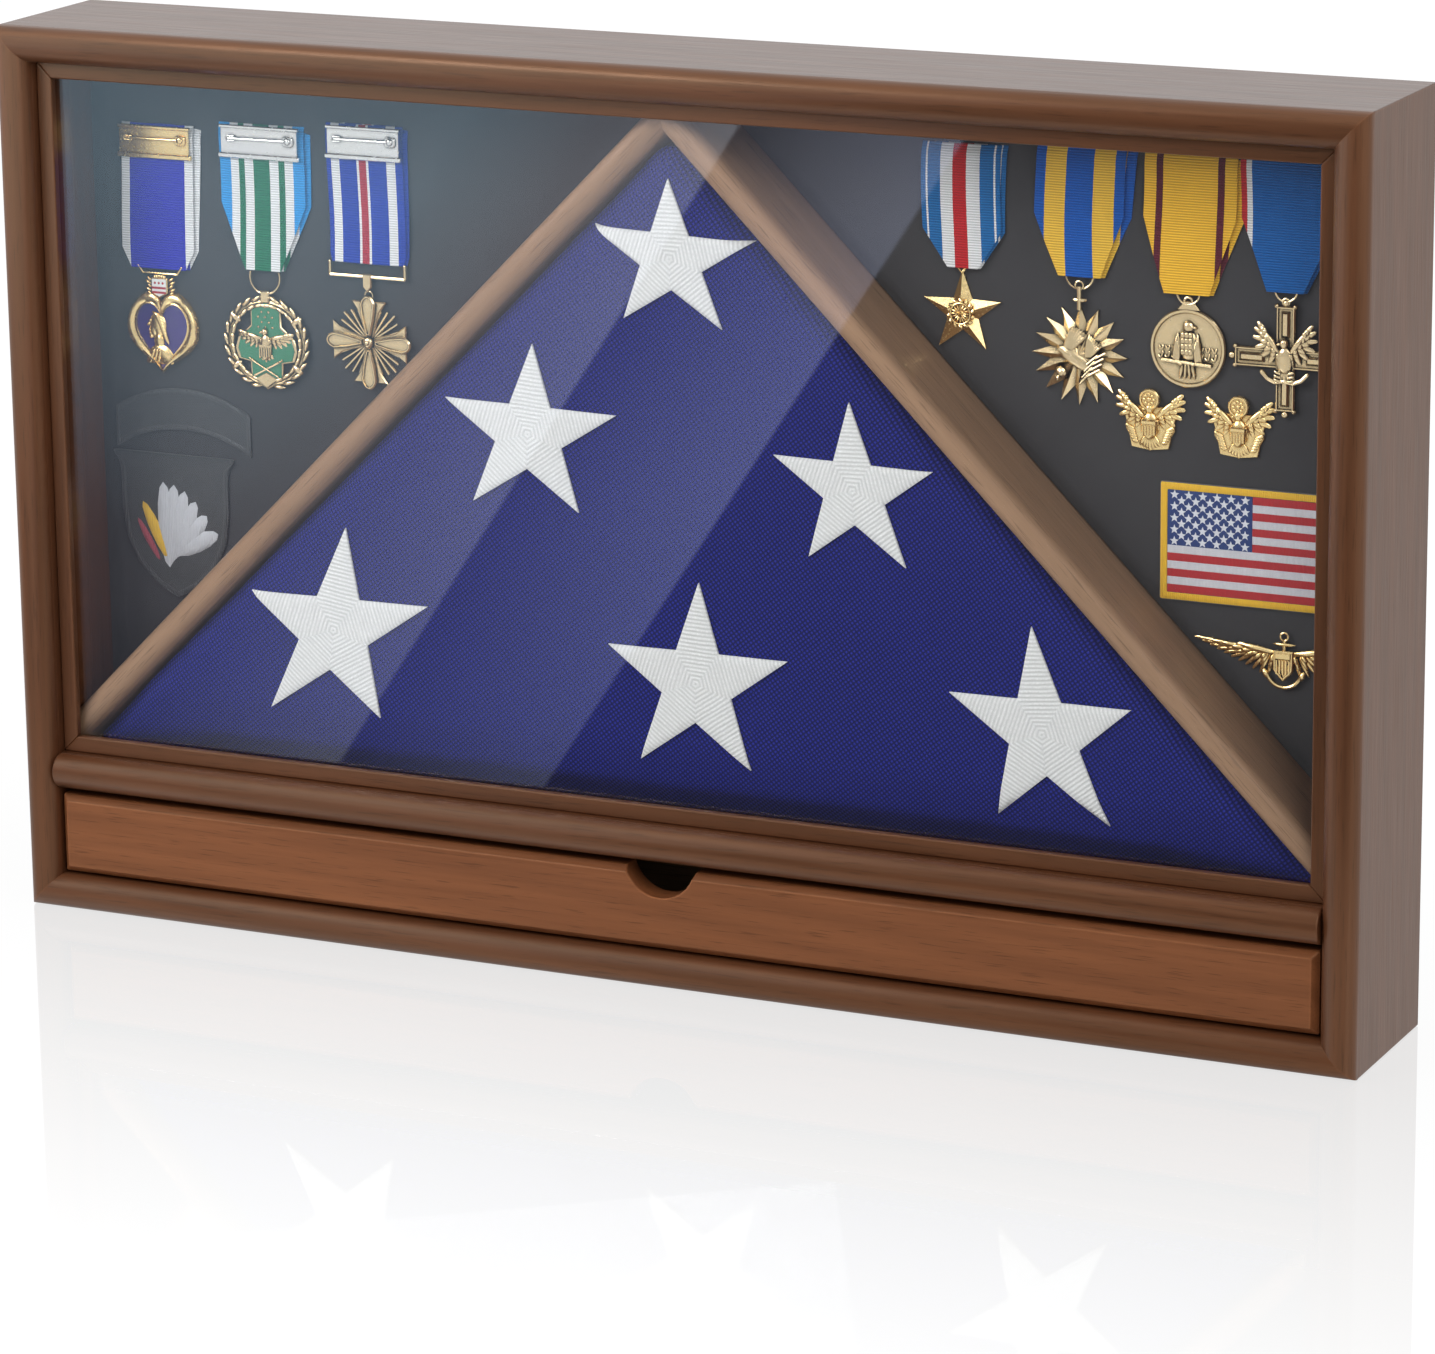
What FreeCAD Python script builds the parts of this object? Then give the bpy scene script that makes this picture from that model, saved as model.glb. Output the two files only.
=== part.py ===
import FreeCAD, Part
import math
import os

import Sketcher
from FreeCAD import Placement, Rotation, Vector

doc = FreeCAD.newDocument("FlagCase")
sub_parts = []

# Driving dimensions, in millimetres. X is across the case, Y runs from front to back, Z is up.
# The origin is the middle of the case's footprint, on the surface that it stands on.
SIZES = (
    ("case_width", 640, "outside, across the side boards"),
    ("case_height", 406, "outside, bottom to top"),
    ("board_depth", 78, "front edge of the boards to their back edge"),
    ("board_thick", 16, "outer boards and shelf"),
    ("drawer_bay_height", 41, "clear height of the drawer bay"),
    ("rebate_width", 8, "step round the back edge that the door lies in"),
    ("lip_width", 7.5, "flat strip round the window"),
    ("lip_thick", 4, "front to back"),
    ("lip_setback", 3.5, "front edge of the boards to the front of the lip"),
    ("glass_thick", 2, "window pane"),
    ("glass_gap", 0.5, "round the edge of the pane"),
    ("stop_width", 5, "strip that holds the pane"),
    ("stop_depth", 14, "front to back, at the sides and top"),
    ("stop_foot_depth", 6, "front to back, in front of the flag"),
    ("stop_gap", 0.5, "between a stop and a slat"),
    ("slat_thick", 12, "sloping slat"),
    ("slat_foot", 15, "height of a slat's outer face above the shelf, at the side board"),
    ("slat_flat", 4, "width of the two slats' outer faces where they meet the top board"),
    ("slat_glass_gap", 0.5, "pane to the front of the slats"),
    ("back_gap", 0.5, "slats, pin boards and flag to the door's seat"),
    ("felt_setback", 50, "front edge of the boards to the felt"),
    ("felt_thick", 1.5, "felt in the upper corners"),
    ("pin_board_gap", 1, "felt and pin board to the slat, along the boards"),
    ("flag_setback", 17, "front edge of the boards to the flag's crown"),
    ("flag_gap", 1.5, "flag to the slats"),
    ("flag_corner", 9, "corner radius of the folded bundle"),
    ("flag_crown", 7, "depth over which the front of the bundle rounds off"),
    ("flag_draw", 9, "how far the rim of the front is drawn in"),
    ("door_thick", 5, "back door and fixed back panel"),
    ("door_gap", 1, "round the door's edge"),
    ("door_seat_gap", 0.5, "door to the floor of its rebate"),
    ("upper_fitting_z", 335.5, "upper hinge and turn button"),
    ("lower_fitting_z", 105, "lower hinge and turn button"),
    ("hinge_length", 19, "leaf and barrel"),
    ("leaf_width", 8, "hinge axis to the leaf's outer edge"),
    ("leaf_thick", 1, "hinge plate"),
    ("leaf_gap", 0.3, "plate to the other leaf's knuckle"),
    ("knuckle_radius", 1.75, "outside of the hinge barrel"),
    ("knuckle_end", 6, "length of each of the case leaf's two knuckles"),
    ("knuckle_gap", 0.3, "between knuckles"),
    ("hinge_pin_radius", 0.9, "hinge pin"),
    ("hinge_pin_play", 0.06, "pin to the door leaf's bore"),
    ("leaf_screw_spread", 11, "between the two screws of a leaf"),
    ("leaf_screw_radius", 0.9, "shank"),
    ("leaf_screw_play", 0.15, "shank to the hole in the leaf"),
    ("leaf_screw_head", 1.8, "radius of the head"),
    ("leaf_screw_head_height", 0.8, "head, along the screw"),
    ("leaf_screw_case_length", 9, "in the side board"),
    ("leaf_screw_door_length", 4, "in the door"),
    ("button_width", 8, "turn button"),
    ("button_length", 26, "end to end"),
    ("button_thick", 2, "turn button"),
    ("button_gap", 0.3, "button to the wood and to its screw's head"),
    ("button_screw_radius", 1.9, "shank"),
    ("button_screw_play", 0.08, "shank to the button's hole"),
    ("button_screw_head", 3.2, "radius of the head"),
    ("button_screw_head_height", 1.6, "head, along the screw"),
    ("button_screw_length", 12, "in the side board"),
    ("drawer_front_thick", 12, "drawer front, with its bevel"),
    ("drawer_bevel", 3, "bevel round the drawer front, which stands proud by as much"),
    ("drawer_side_gap", 1.2, "drawer front to the sides and floor of the bay"),
    ("drawer_top_gap", 3, "drawer front to the top of the bay"),
    ("slide_gap", 0.3, "drawer sides to the floor of the bay"),
    ("drawer_side_thick", 8, "sides and back of the drawer"),
    ("drawer_side_height", 32, "sides and back of the drawer"),
    ("drawer_bottom_thick", 3, "plywood bottom"),
    ("drawer_bottom_raise", 2, "lower edge of the sides to the bottom"),
    ("drawer_groove", 3, "how far the bottom is let into the sides"),
    ("drawer_liner_thick", 1.2, "felt in the drawer"),
    ("drawer_liner_gap", 0.5, "round the edge of the felt"),
    ("drawer_back_gap", 3, "drawer to the fixed back panel"),
    ("notch_radius", 17, "finger notch"),
    ("notch_depth", 13, "below the top of the drawer front"),
    ("corner_leg", 302, "legs of the upper corners that the medals and patches below are laid out for"),
    ("ribbon_thick", 3, "folded ribbon"),
    ("pendant_thick", 2.5, "struck metal"),
    ("pendant_relief", 2, "raised part of a pendant"),
    ("hanger_width", 3, "link from ribbon to pendant"),
    ("brooch_width", 38, "brooch bar"),
    ("brooch_height", 15, "brooch bar"),
    ("brooch_thick", 1.5, "brooch bar"),
    ("patch_thick", 1.6, "sewn patch"),
    ("tab_wall_gap", 7.5, "side board to the tab"),
    ("tab_drop", 154, "top board to the top of the tab"),
    ("tab_width", 70, "along its chord"),
    ("tab_height", 19, "across the band"),
    ("tab_rise", 10, "height of its arch"),
    ("shield_wall_gap", 5, "side board to the shield patch"),
    ("shield_drop", 184, "top board to the top of the shield patch"),
    ("shield_width", 64, "at the top"),
    ("shield_height", 68, "top to point"),
    ("banner_wall_gap", 3, "side board to the flag patch"),
    ("banner_slat_gap", 4.5, "slat to the flag patch's lower corner, measured upright"),
    ("banner_width", 89, "flag patch"),
    ("banner_height", 51, "flag patch"),
    ("wings_wall_gap", 3, "side board to the tip of a wing"),
    ("wings_gap", 9.3, "flag patch to the top of the wings"),
    ("wings_span", 66, "tip to tip"),
    ("collar_pin_near", 57.5, "side board to the middle of the nearer collar pin"),
    ("collar_pin_far", 96.5, "side board to the middle of the further collar pin"),
    ("collar_pin_drop", 129, "top board to the middle of the collar pins"),
    ("collar_pin_height", 27, "collar pin"),
)

# Medals by the shape of the pendant. side is -1 in the left corner and 1 in the right one.
# from_wall is side board to middle, drop is top board to ribbon, foot is the ribbon's width at its lower
# end, taper the length over which it narrows, hang the link below it, and size the pendant's height.
MEDAL_FIELDS = ("from_wall", "drop", "ribbon_long", "ribbon_wide", "foot", "taper", "hang", "size")
MEDALS = {
    "heart": (-1, (34, 33, 66, 37, 28, 9, 9, 46)),
    "wreath": (-1, (88, 30, 66, 43, 18, 30, 12, 42)),
    "propeller": (-1, (140.5, 27, 62, 38, 36, 4, 14, 43)),
    "star": (1, (182, 17, 53, 36, 14, 16, 1, 37)),
    "sunburst": (1, (128.5, 15, 55, 40, 19, 26, 12, 43)),
    "disc": (1, (80, 15, 59, 41, 20, 32, 6, 33.6)),
    "cross": (1, (37, 14, 56, 41, 16, 30, 3.5, 49)),
}

# Places worked out from the sizes.
PLACES = (
    ("front_y", "-Sizes.board_depth / 2", "front edge of the boards"),
    ("rear_y", "Sizes.board_depth / 2", "back edge of the boards"),
    ("wall_x", "Sizes.case_width / 2 - Sizes.board_thick", "inner face of a side board"),
    ("ceiling_z", "Sizes.case_height - Sizes.board_thick", "under the top board"),
    ("bay_top", "Sizes.board_thick + Sizes.drawer_bay_height", "under the shelf"),
    ("shelf_top", "bay_top + Sizes.board_thick", "top of the shelf"),
    ("rebate_depth", "Sizes.door_thick + Sizes.door_seat_gap", "depth of the door's rebate"),
    ("seat_y", "rear_y - rebate_depth", "floor of the door's rebate"),
    ("rebate_x", "wall_x + Sizes.rebate_width", "outer wall of the rebate"),
    ("lip_back_y", "front_y + Sizes.lip_setback + Sizes.lip_thick", "back of the lips"),
    ("glass_back_y", "lip_back_y + Sizes.glass_thick", "back of the pane"),
    ("slat_front_y", "glass_back_y + Sizes.slat_glass_gap", "front of the slats"),
    ("inside_back_y", "seat_y - Sizes.back_gap", "back of slats, pin boards and flag"),
    ("foot_z", "shelf_top + Sizes.slat_foot", "slat's outer face at the side board"),
    ("slat_run", "wall_x - Sizes.slat_flat / 2", "slat, across"),
    ("slat_rise", "ceiling_z - foot_z", "slat, upwards"),
    ("slat_slope", "slat_rise / slat_run", "rise over run"),
    ("slat_length", "sqrt(slat_run ^ 2 + slat_rise ^ 2)", "along the outer face"),
    ("slat_drop", "Sizes.slat_thick * slat_length / slat_run", "slat's thickness, measured upright"),
    ("corner_fit", "min(slat_run; slat_rise) / Sizes.corner_leg", "size of the contents, by the corner's"),
    ("banner_reach", "(Sizes.banner_wall_gap + Sizes.banner_width) * corner_fit", "to its inner edge"),
    (
        "banner_low",
        "foot_z + banner_reach * slat_slope + Sizes.banner_slat_gap * corner_fit",
        "lower edge of the flag patch",
    ),
    ("felt_y", "front_y + Sizes.felt_setback", "face of the felt"),
    ("split_z", "bay_top + Sizes.board_thick / 2", "between door and fixed panel"),
    ("hinge_x", "rebate_x - Sizes.door_gap / 2", "hinge axis"),
    ("hinge_y", "rear_y + Sizes.knuckle_radius", "hinge axis"),
    ("button_x", "-Sizes.case_width / 2 + Sizes.button_width / 2", "turn buttons' axis"),
    ("drawer_x", "wall_x - Sizes.drawer_side_gap", "outer edge of the drawer"),
    ("drawer_low", "Sizes.board_thick + Sizes.drawer_side_gap", "lower edge of the drawer front"),
    ("drawer_top", "bay_top - Sizes.drawer_top_gap", "top of the drawer front"),
    ("drawer_face_y", "front_y - Sizes.drawer_bevel", "face of the drawer front"),
    ("drawer_inner_y", "drawer_face_y + Sizes.drawer_front_thick", "back of the drawer front"),
    ("drawer_end_y", "seat_y - Sizes.drawer_back_gap", "back of the drawer"),
    ("side_low", "Sizes.board_thick + Sizes.slide_gap", "lower edge of the drawer sides"),
    ("tray_x", "drawer_x - Sizes.drawer_side_thick", "inner face of a drawer side"),
    ("tray_floor", "side_low + Sizes.drawer_bottom_raise + Sizes.drawer_bottom_thick", "drawer bottom"),
)


def fill_sheet(name, rows):
    """A sheet of rows: what a value is, the value under its alias, and what it measures."""
    sheet = doc.addObject("Spreadsheet::Sheet", name)
    for number, (alias, content, meaning) in enumerate(rows, start=1):
        sheet.set(f"A{number}", alias)
        sheet.set(f"B{number}", str(content))
        sheet.set(f"C{number}", meaning)
        sheet.setAlias(f"B{number}", alias)
    doc.recompute()
    return sheet


def medal_rows():
    for medal, (_, values) in MEDALS.items():
        for field, value in zip(MEDAL_FIELDS, values):
            yield f"{medal}_{field}", value, f"{medal} medal"


sizes = fill_sheet("Sizes", [*SIZES, *medal_rows()])
places = fill_sheet("Places", [(alias, f"={formula}", meaning) for alias, formula, meaning in PLACES])


def size(alias):
    return float(sizes.get(alias))


def place(alias):
    return float(places.get(alias))


def fitted(alias):
    """A size of the contents of the upper corners, as an expression."""
    return f"(Sizes.{alias} * Places.corner_fit)"


def fitted_size(alias):
    return size(alias) * place("corner_fit")


def keep(item):
    """Marks an object as a sub-part; its Label names its file."""
    sub_parts.append(item)
    return item


def box(name, x, y, z):
    """A box between pairs of expressions, lower and upper."""
    item = doc.addObject("Part::Box", name)
    for length, axis, (low, high) in zip(("Length", "Width", "Height"), "xyz", (x, y, z)):
        item.setExpression(length, f"({high}) - ({low})")
        item.setExpression(f"Placement.Base.{axis}", low)
    return item


ALONG = {
    "x": Rotation(Vector(1, 1, 1), 120),
    "y": Rotation(Vector(1, 0, 0), -90),
    "z": Rotation(),
}


def cylinder(name, axis, radius, length, base):
    """A round bar along an axis, from the point base, all in expressions."""
    item = doc.addObject("Part::Cylinder", name)
    item.Placement = Placement(Vector(), ALONG[axis])
    item.setExpression("Radius", radius)
    item.setExpression("Height", length)
    for coordinate, expression in zip("xyz", base):
        item.setExpression(f"Placement.Base.{coordinate}", expression)
    return item


def cut(name, base, *tools):
    tool = tools[0] if len(tools) == 1 else fuse(f"{name}_tools", *tools)
    item = doc.addObject("Part::Cut", name)
    item.Base = base
    item.Tool = tool
    return item


def fuse(name, *pieces):
    item = doc.addObject("Part::MultiFuse", name)
    item.Shapes = list(pieces)
    item.Refine = True
    return item


def common(name, base, tool):
    item = doc.addObject("Part::Common", name)
    item.Base = base
    item.Tool = tool
    return item


def group(name, pieces):
    """Like pieces that share one sub-part."""
    item = doc.addObject("Part::Compound", name)
    item.Links = list(pieces)
    return item


def mirrored(name, source):
    """The piece on the other side of the case's middle plane."""
    item = doc.addObject("Part::Mirroring", name)
    item.Source = source
    item.Normal = Vector(1, 0, 0)
    item.Base = Vector(0, 0, 0)
    return item


# Mitred frames. A rail lies along its own X, its outer edge on Y = 0 and its inner edge at Y = width,
# with its back on Z = 0. Turned about the case's Y axis, the same rail makes all four sides of a frame.
RAIL_TURNS = {"bottom": 0, "left": 90, "top": 180, "right": -90}


def rail_length(side, half_width, low, high):
    return f"2 * ({half_width})" if side in ("bottom", "top") else f"({high}) - ({low})"


def mitred_rail(name, length, width, depth):
    rail = doc.addObject("Part::Wedge", name)
    for corner, expression in {
        "Xmin": f"-({length}) / 2",
        "Xmax": f"({length}) / 2",
        "X2min": f"-({length}) / 2 + {width}",
        "X2max": f"({length}) / 2 - {width}",
        "Ymin": "0",
        "Ymax": width,
        "Zmin": "0",
        "Z2min": "0",
        "Zmax": depth,
        "Z2max": depth,
    }.items():
        rail.setExpression(corner, expression)
    return rail


def seat_rail(rail, side, half_width, low, high, back_y):
    """Turns a rail to its side of the frame and puts its back on back_y."""
    turn = Rotation(Vector(0, 1, 0), RAIL_TURNS[side])
    rail.Placement = Placement(Vector(), turn.multiply(Rotation(Vector(1, 0, 0), 90)))
    middle = f"(({low}) + ({high})) / 2"
    base_x = {"left": f"-({half_width})", "right": half_width}.get(side, "0")
    base_z = {"bottom": low, "top": high}.get(side, middle)
    rail.setExpression("Placement.Base.x", base_x)
    rail.setExpression("Placement.Base.y", back_y)
    rail.setExpression("Placement.Base.z", base_z)
    return keep(rail)


OUTSIDE = ("Sizes.case_width / 2", "0", "Sizes.case_height")
WINDOW = ("Places.wall_x", "Places.shelf_top", "Places.ceiling_z")
BOARD_NAMES = {
    "bottom": "bottom_board",
    "left": "left_side_board",
    "top": "top_board",
    "right": "right_side_board",
}
HALF_ROUND = "Sizes.board_thick / 2"


def outer_board(side):
    name = BOARD_NAMES[side]
    length = rail_length(side, *OUTSIDE)
    plank = mitred_rail(f"{side}_plank", length, "Sizes.board_thick", "Sizes.board_depth")
    rebate = box(
        f"{side}_rebate",
        (f"-({length}) / 2", f"({length}) / 2"),
        ("Sizes.board_thick - Sizes.rebate_width", "Sizes.board_thick"),
        ("0", "Places.rebate_depth"),
    )
    return seat_rail(cut(name, plank, rebate), side, *OUTSIDE, "Places.rear_y")


def half_round_bar(name, length, base):
    bar = cylinder(name, "x", HALF_ROUND, length, base)
    bar.Angle = 180
    return bar


def edge_bead(side):
    length = rail_length(side, *OUTSIDE)
    bar = half_round_bar(f"{side}_bar", length, (f"-({length}) / 2", HALF_ROUND, "0"))
    mitre = mitred_rail(f"{side}_mitre", length, "Sizes.board_thick", "Sizes.board_thick")
    return seat_rail(common(f"{side}_bead", bar, mitre), side, *OUTSIDE, "Places.front_y")


def window_lip(side):
    length = rail_length(side, *WINDOW)
    lip = mitred_rail(f"{side}_lip", length, "Sizes.lip_width", "Sizes.lip_thick")
    return seat_rail(lip, side, *WINDOW, "Places.lip_back_y")


def shelf_and_middle_bead():
    wall = ("-Places.wall_x", "Places.wall_x")
    keep(box("shelf", wall, ("Places.front_y", "Places.seat_y"), ("Places.bay_top", "Places.shelf_top")))
    bead = half_round_bar("middle_bead", "2 * Places.wall_x", ("0", "0", "0"))
    bead.Placement = Placement(Vector(), Rotation(Vector(1, 0, 0), 90).multiply(ALONG["x"]))
    bead.setExpression("Placement.Base.x", "-Places.wall_x")
    bead.setExpression("Placement.Base.y", "Places.front_y")
    bead.setExpression("Placement.Base.z", "Places.split_z")
    keep(bead)


def glass():
    edge = "(Places.wall_x - Sizes.glass_gap)"
    low = "Places.shelf_top + Sizes.glass_gap"
    high = "Places.ceiling_z - Sizes.glass_gap"
    keep(box("glass_pane", (f"-{edge}", edge), ("Places.lip_back_y", "Places.glass_back_y"), (low, high)))


def glass_stops():
    """Strips behind the pane: up both sides, along the top beside the slats, and between their feet."""
    y = ("Places.glass_back_y", "Places.glass_back_y + Sizes.stop_depth")
    inner = "Places.wall_x - Sizes.stop_width"
    low = "Places.foot_z + Sizes.stop_width * Places.slat_slope + Sizes.stop_gap"
    near = "Sizes.slat_flat / 2 + Sizes.stop_width / Places.slat_slope + Sizes.stop_gap"
    foot_reach = "(Sizes.stop_width + Places.slat_drop - Sizes.slat_foot) / Places.slat_slope"
    half = f"(Places.wall_x - {foot_reach} - Sizes.stop_gap)"
    top = ("Places.ceiling_z - Sizes.stop_width", "Places.ceiling_z")
    bottom = ("Places.shelf_top", "Places.shelf_top + Sizes.stop_width")
    side_stop = box("side_stop", (inner, "Places.wall_x"), y, (low, "Places.ceiling_z"))
    top_stop = box("top_stop", (near, inner), y, top)
    pieces = [
        side_stop,
        top_stop,
        mirrored("left_side_stop", side_stop),
        mirrored("left_top_stop", top_stop),
        box("bottom_stop", (f"-{half}", half), (y[0], f"{y[0]} + Sizes.stop_foot_depth"), bottom),
    ]
    keep(group("glass_stops", pieces))


def slats():
    """A plank with a rounded front edge, turned to the slope and cut off by shelf, side and top board."""
    radius = "Sizes.slat_thick / 2"
    depth = "(Places.inside_back_y - Places.slat_front_y)"
    overrun = "2 * Sizes.slat_thick"
    span = (f"-{overrun}", f"Places.slat_length + {overrun}")
    flat = box("slat_plank", span, (radius, depth), ("-Sizes.slat_thick", "0"))
    nose = doc.addObject("Part::Cylinder", "slat_nose")
    nose.Angle = 180
    nose.Placement.Rotation = Rotation(Vector(0, 0, 1), Vector(0, -1, 0), Vector(1, 0, 0), "ZXY")
    nose.setExpression("Radius", radius)
    nose.setExpression("Height", f"({span[1]}) - ({span[0]})")
    nose.setExpression("Placement.Base.x", span[0])
    nose.setExpression("Placement.Base.y", radius)
    nose.setExpression("Placement.Base.z", f"-{radius}")
    slat = fuse("slat_blank", flat, nose)
    slat.Placement = Placement(Vector(), Rotation(Vector(0, 1, 0), -45))
    slat.setExpression("Placement.Rotation.Angle", "-atan(Places.slat_slope)")
    slat.setExpression("Placement.Base.x", "-Places.wall_x")
    slat.setExpression("Placement.Base.y", "Places.slat_front_y")
    slat.setExpression("Placement.Base.z", "Places.foot_z")
    half = box(
        "left_half",
        ("-Places.wall_x", "0"),
        ("Places.front_y", "Places.rear_y"),
        ("Places.shelf_top", "Places.ceiling_z"),
    )
    left = keep(common("left_slat", slat, half))
    keep(mirrored("right_slat", left))


def polygon_sketch(body, name, corners):
    """A closed outline in the body's XZ plane, each corner held by two expressions."""
    sketch = body.newObject("Sketcher::SketchObject", name)
    plane = next(feature for feature in body.Origin.OriginFeatures if feature.Role == "XZ_Plane")
    sketch.AttachmentSupport = (plane, [""])
    sketch.MapMode = "FlatFace"
    values = [[float(places.evalExpression(expression)) for expression in corner] for corner in corners]
    count = len(corners)
    for index, (x, z) in enumerate(values):
        end = values[(index + 1) % count]
        sketch.addGeometry(Part.LineSegment(Vector(x, z, 0), Vector(*end, 0)), False)
    for index in range(count):
        sketch.addConstraint(Sketcher.Constraint("Coincident", index, 2, (index + 1) % count, 1))
    for index, corner in enumerate(corners):
        for kind, expression, value in zip(("DistanceX", "DistanceY"), corner, values[index]):
            constraint = sketch.addConstraint(Sketcher.Constraint(kind, -1, 1, index, 1, value))
            sketch.setExpression(f"Constraints[{constraint}]", expression)
    return sketch


def outline_body(name, corners, thickness, back_y):
    """An outline padded forward from back_y."""
    body = doc.addObject("PartDesign::Body", name)
    sketch = polygon_sketch(body, f"{name}_outline", corners)
    pad = body.newObject("PartDesign::Pad", f"{name}_pad")
    pad.Profile = sketch
    pad.setExpression("Length", thickness)
    body.setExpression("Placement.Base.y", back_y)
    return body


def corner_plates():
    """Felt and pin board in the left upper corner, bounded by side board, top board and slat."""
    corners = (
        ("-Places.wall_x", "Places.ceiling_z"),
        ("-Places.wall_x", "Places.foot_z + Sizes.pin_board_gap"),
        ("-(Sizes.slat_flat / 2 + Sizes.pin_board_gap)", "Places.ceiling_z"),
    )
    felt_back = "Places.felt_y + Sizes.felt_thick"
    board_thick = f"Places.inside_back_y - ({felt_back})"
    felt = keep(outline_body("left_felt", corners, "Sizes.felt_thick", felt_back))
    board = keep(outline_body("left_pin_board", corners, board_thick, "Places.inside_back_y"))
    keep(mirrored("right_felt", felt))
    keep(mirrored("right_pin_board", board))


def rounded_triangle(half_base, low, apex, inset, radius, y):
    """Flag outline: a triangle drawn in by inset on all sides, with round corners, at depth y."""
    slope = (apex - low) / half_base
    lean = math.hypot(1, slope)
    low = low + inset
    apex = apex - inset * lean
    half_base = (apex - low) / slope
    corners = [Vector(-half_base, y, low), Vector(half_base, y, low), Vector(0, y, apex)]
    edges = []
    for index, corner in enumerate(corners):
        before = (corners[index - 1] - corner).normalize()
        after = (corners[(index + 1) % 3] - corner).normalize()
        half_angle = before.getAngle(after) / 2
        reach = radius / math.tan(half_angle)
        middle = (before + after).normalize() * (radius / math.sin(half_angle) - radius)
        start = corner + before * reach
        end = corner + after * reach
        edges.append((start, corner + middle, end))
    wire = []
    for index, (start, middle, end) in enumerate(edges):
        wire.append(Part.Arc(start, middle, end).toShape())
        wire.append(Part.LineSegment(end, edges[(index + 1) % 3][0]).toShape())
    return Part.Wire(wire)


def shaped(name, shape, x=0.0, y=0.0, z=0.0):
    """A sub-part whose form is worked out from the sizes."""
    item = doc.addObject("Part::Feature", name)
    item.Shape = shape
    item.Placement = Placement(Vector(x, y, z), Rotation())
    return keep(item)


def folded_flag():
    """Folded bundle: crowned in front, full at the middle and drawn in a little at the back."""
    gap = size("flag_gap")
    slope = place("slat_slope")
    inner_apex = place("foot_z") + place("wall_x") * slope - place("slat_drop")
    apex = inner_apex - gap * math.hypot(1, slope)
    low = place("shelf_top")
    half_base = (apex - low) / slope
    front = place("front_y") + size("flag_setback")
    back = place("inside_back_y")
    crown = size("flag_crown")
    draw = size("flag_draw")
    radius = size("flag_corner")
    sections = (
        (front, draw),
        (front + crown * 0.3, draw * 0.4),
        (front + crown, draw * 0.06),
        ((front + back) / 2, 0.0),
        (back - crown / 2, draw * 0.06),
        (back, draw * 0.35),
    )
    rings = [rounded_triangle(half_base, low, apex, inset, radius, y) for y, inset in sections]
    shaped("folded_flag", Part.makeLoft(rings, True, True))


# Back door, its hinges and its turn buttons.
FITTINGS = {"upper": "Sizes.upper_fitting_z", "lower": "Sizes.lower_fitting_z"}


def door_and_back_panel():
    edge = "(Places.rebate_x - Sizes.door_gap)"
    high = "Places.ceiling_z + Sizes.rebate_width - Sizes.door_gap"
    low = "Places.split_z + Sizes.door_gap / 2"
    door_y = ("Places.rear_y - Sizes.door_thick", "Places.rear_y")
    keep(box("door_panel", (f"-{edge}", edge), door_y, (low, high)))
    panel_y = ("Places.seat_y", "Places.seat_y + Sizes.door_thick")
    panel_z = ("Sizes.board_thick - Sizes.rebate_width", "Places.split_z - Sizes.door_gap / 2")
    keep(box("drawer_back_panel", ("-Places.rebate_x", "Places.rebate_x"), panel_y, panel_z))


def hinge_leaf(name, sign, fitting, knuckles, bore):
    """A plate with its knuckles on the hinge axis. sign is 1 for the case leaf and -1 for the door leaf."""
    clear = "Sizes.knuckle_radius + Sizes.leaf_gap"
    plate_y = ("Places.rear_y", "Places.rear_y + Sizes.leaf_thick")
    start = f"{fitting} - Sizes.hinge_length / 2"
    near = f"Places.hinge_x + {sign} * ({clear})"
    far = f"Places.hinge_x + {sign} * Sizes.leaf_width"
    plate_x = (near, far) if sign > 0 else (far, near)
    tab_x = ("Places.hinge_x", near) if sign > 0 else (near, "Places.hinge_x")
    pieces = [box(f"{name}_plate", plate_x, plate_y, (start, f"{start} + Sizes.hinge_length"))]
    for number, (low, high) in enumerate(knuckles):
        z = (f"{start} + {low}", f"{start} + {high}")
        axis = ("Places.hinge_x", "Places.hinge_y", z[0])
        pieces.append(box(f"{name}_tab{number}", tab_x, plate_y, z))
        barrel = f"({high}) - ({low})"
        pieces.append(cylinder(f"{name}_knuckle{number}", "z", "Sizes.knuckle_radius", barrel, axis))
    bore_base = ("Places.hinge_x", "Places.hinge_y", start)
    tools = [cylinder(f"{name}_bore", "z", bore, "Sizes.hinge_length", bore_base)]
    hole = "Sizes.leaf_screw_radius + Sizes.leaf_screw_play"
    for number, (x, z) in enumerate(leaf_screw_places(sign, fitting)):
        base = (x, "Places.rear_y", z)
        tools.append(cylinder(f"{name}_hole{number}", "y", hole, "Sizes.leaf_thick", base))
    return cut(name, fuse(f"{name}_blank", *pieces), *tools)


def leaf_screw_places(sign, fitting):
    x = f"Places.hinge_x + {sign} * (Sizes.leaf_width + Sizes.knuckle_radius + Sizes.leaf_gap) / 2"
    return [(x, f"{fitting} + {end} * Sizes.leaf_screw_spread / 2") for end in (-1, 1)]


def screw(name, x, z, head_y, radius, length, head, head_height):
    """A screw driven in from the back: its shank reaches length into the wood behind rear_y."""
    reach = f"{head_y} - Places.rear_y + {length}"
    shank = cylinder(f"{name}_shank", "y", radius, reach, (x, f"Places.rear_y - {length}", z))
    cap = cylinder(f"{name}_head", "y", head, head_height, (x, head_y, z))
    return fuse(name, shank, cap)


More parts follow.
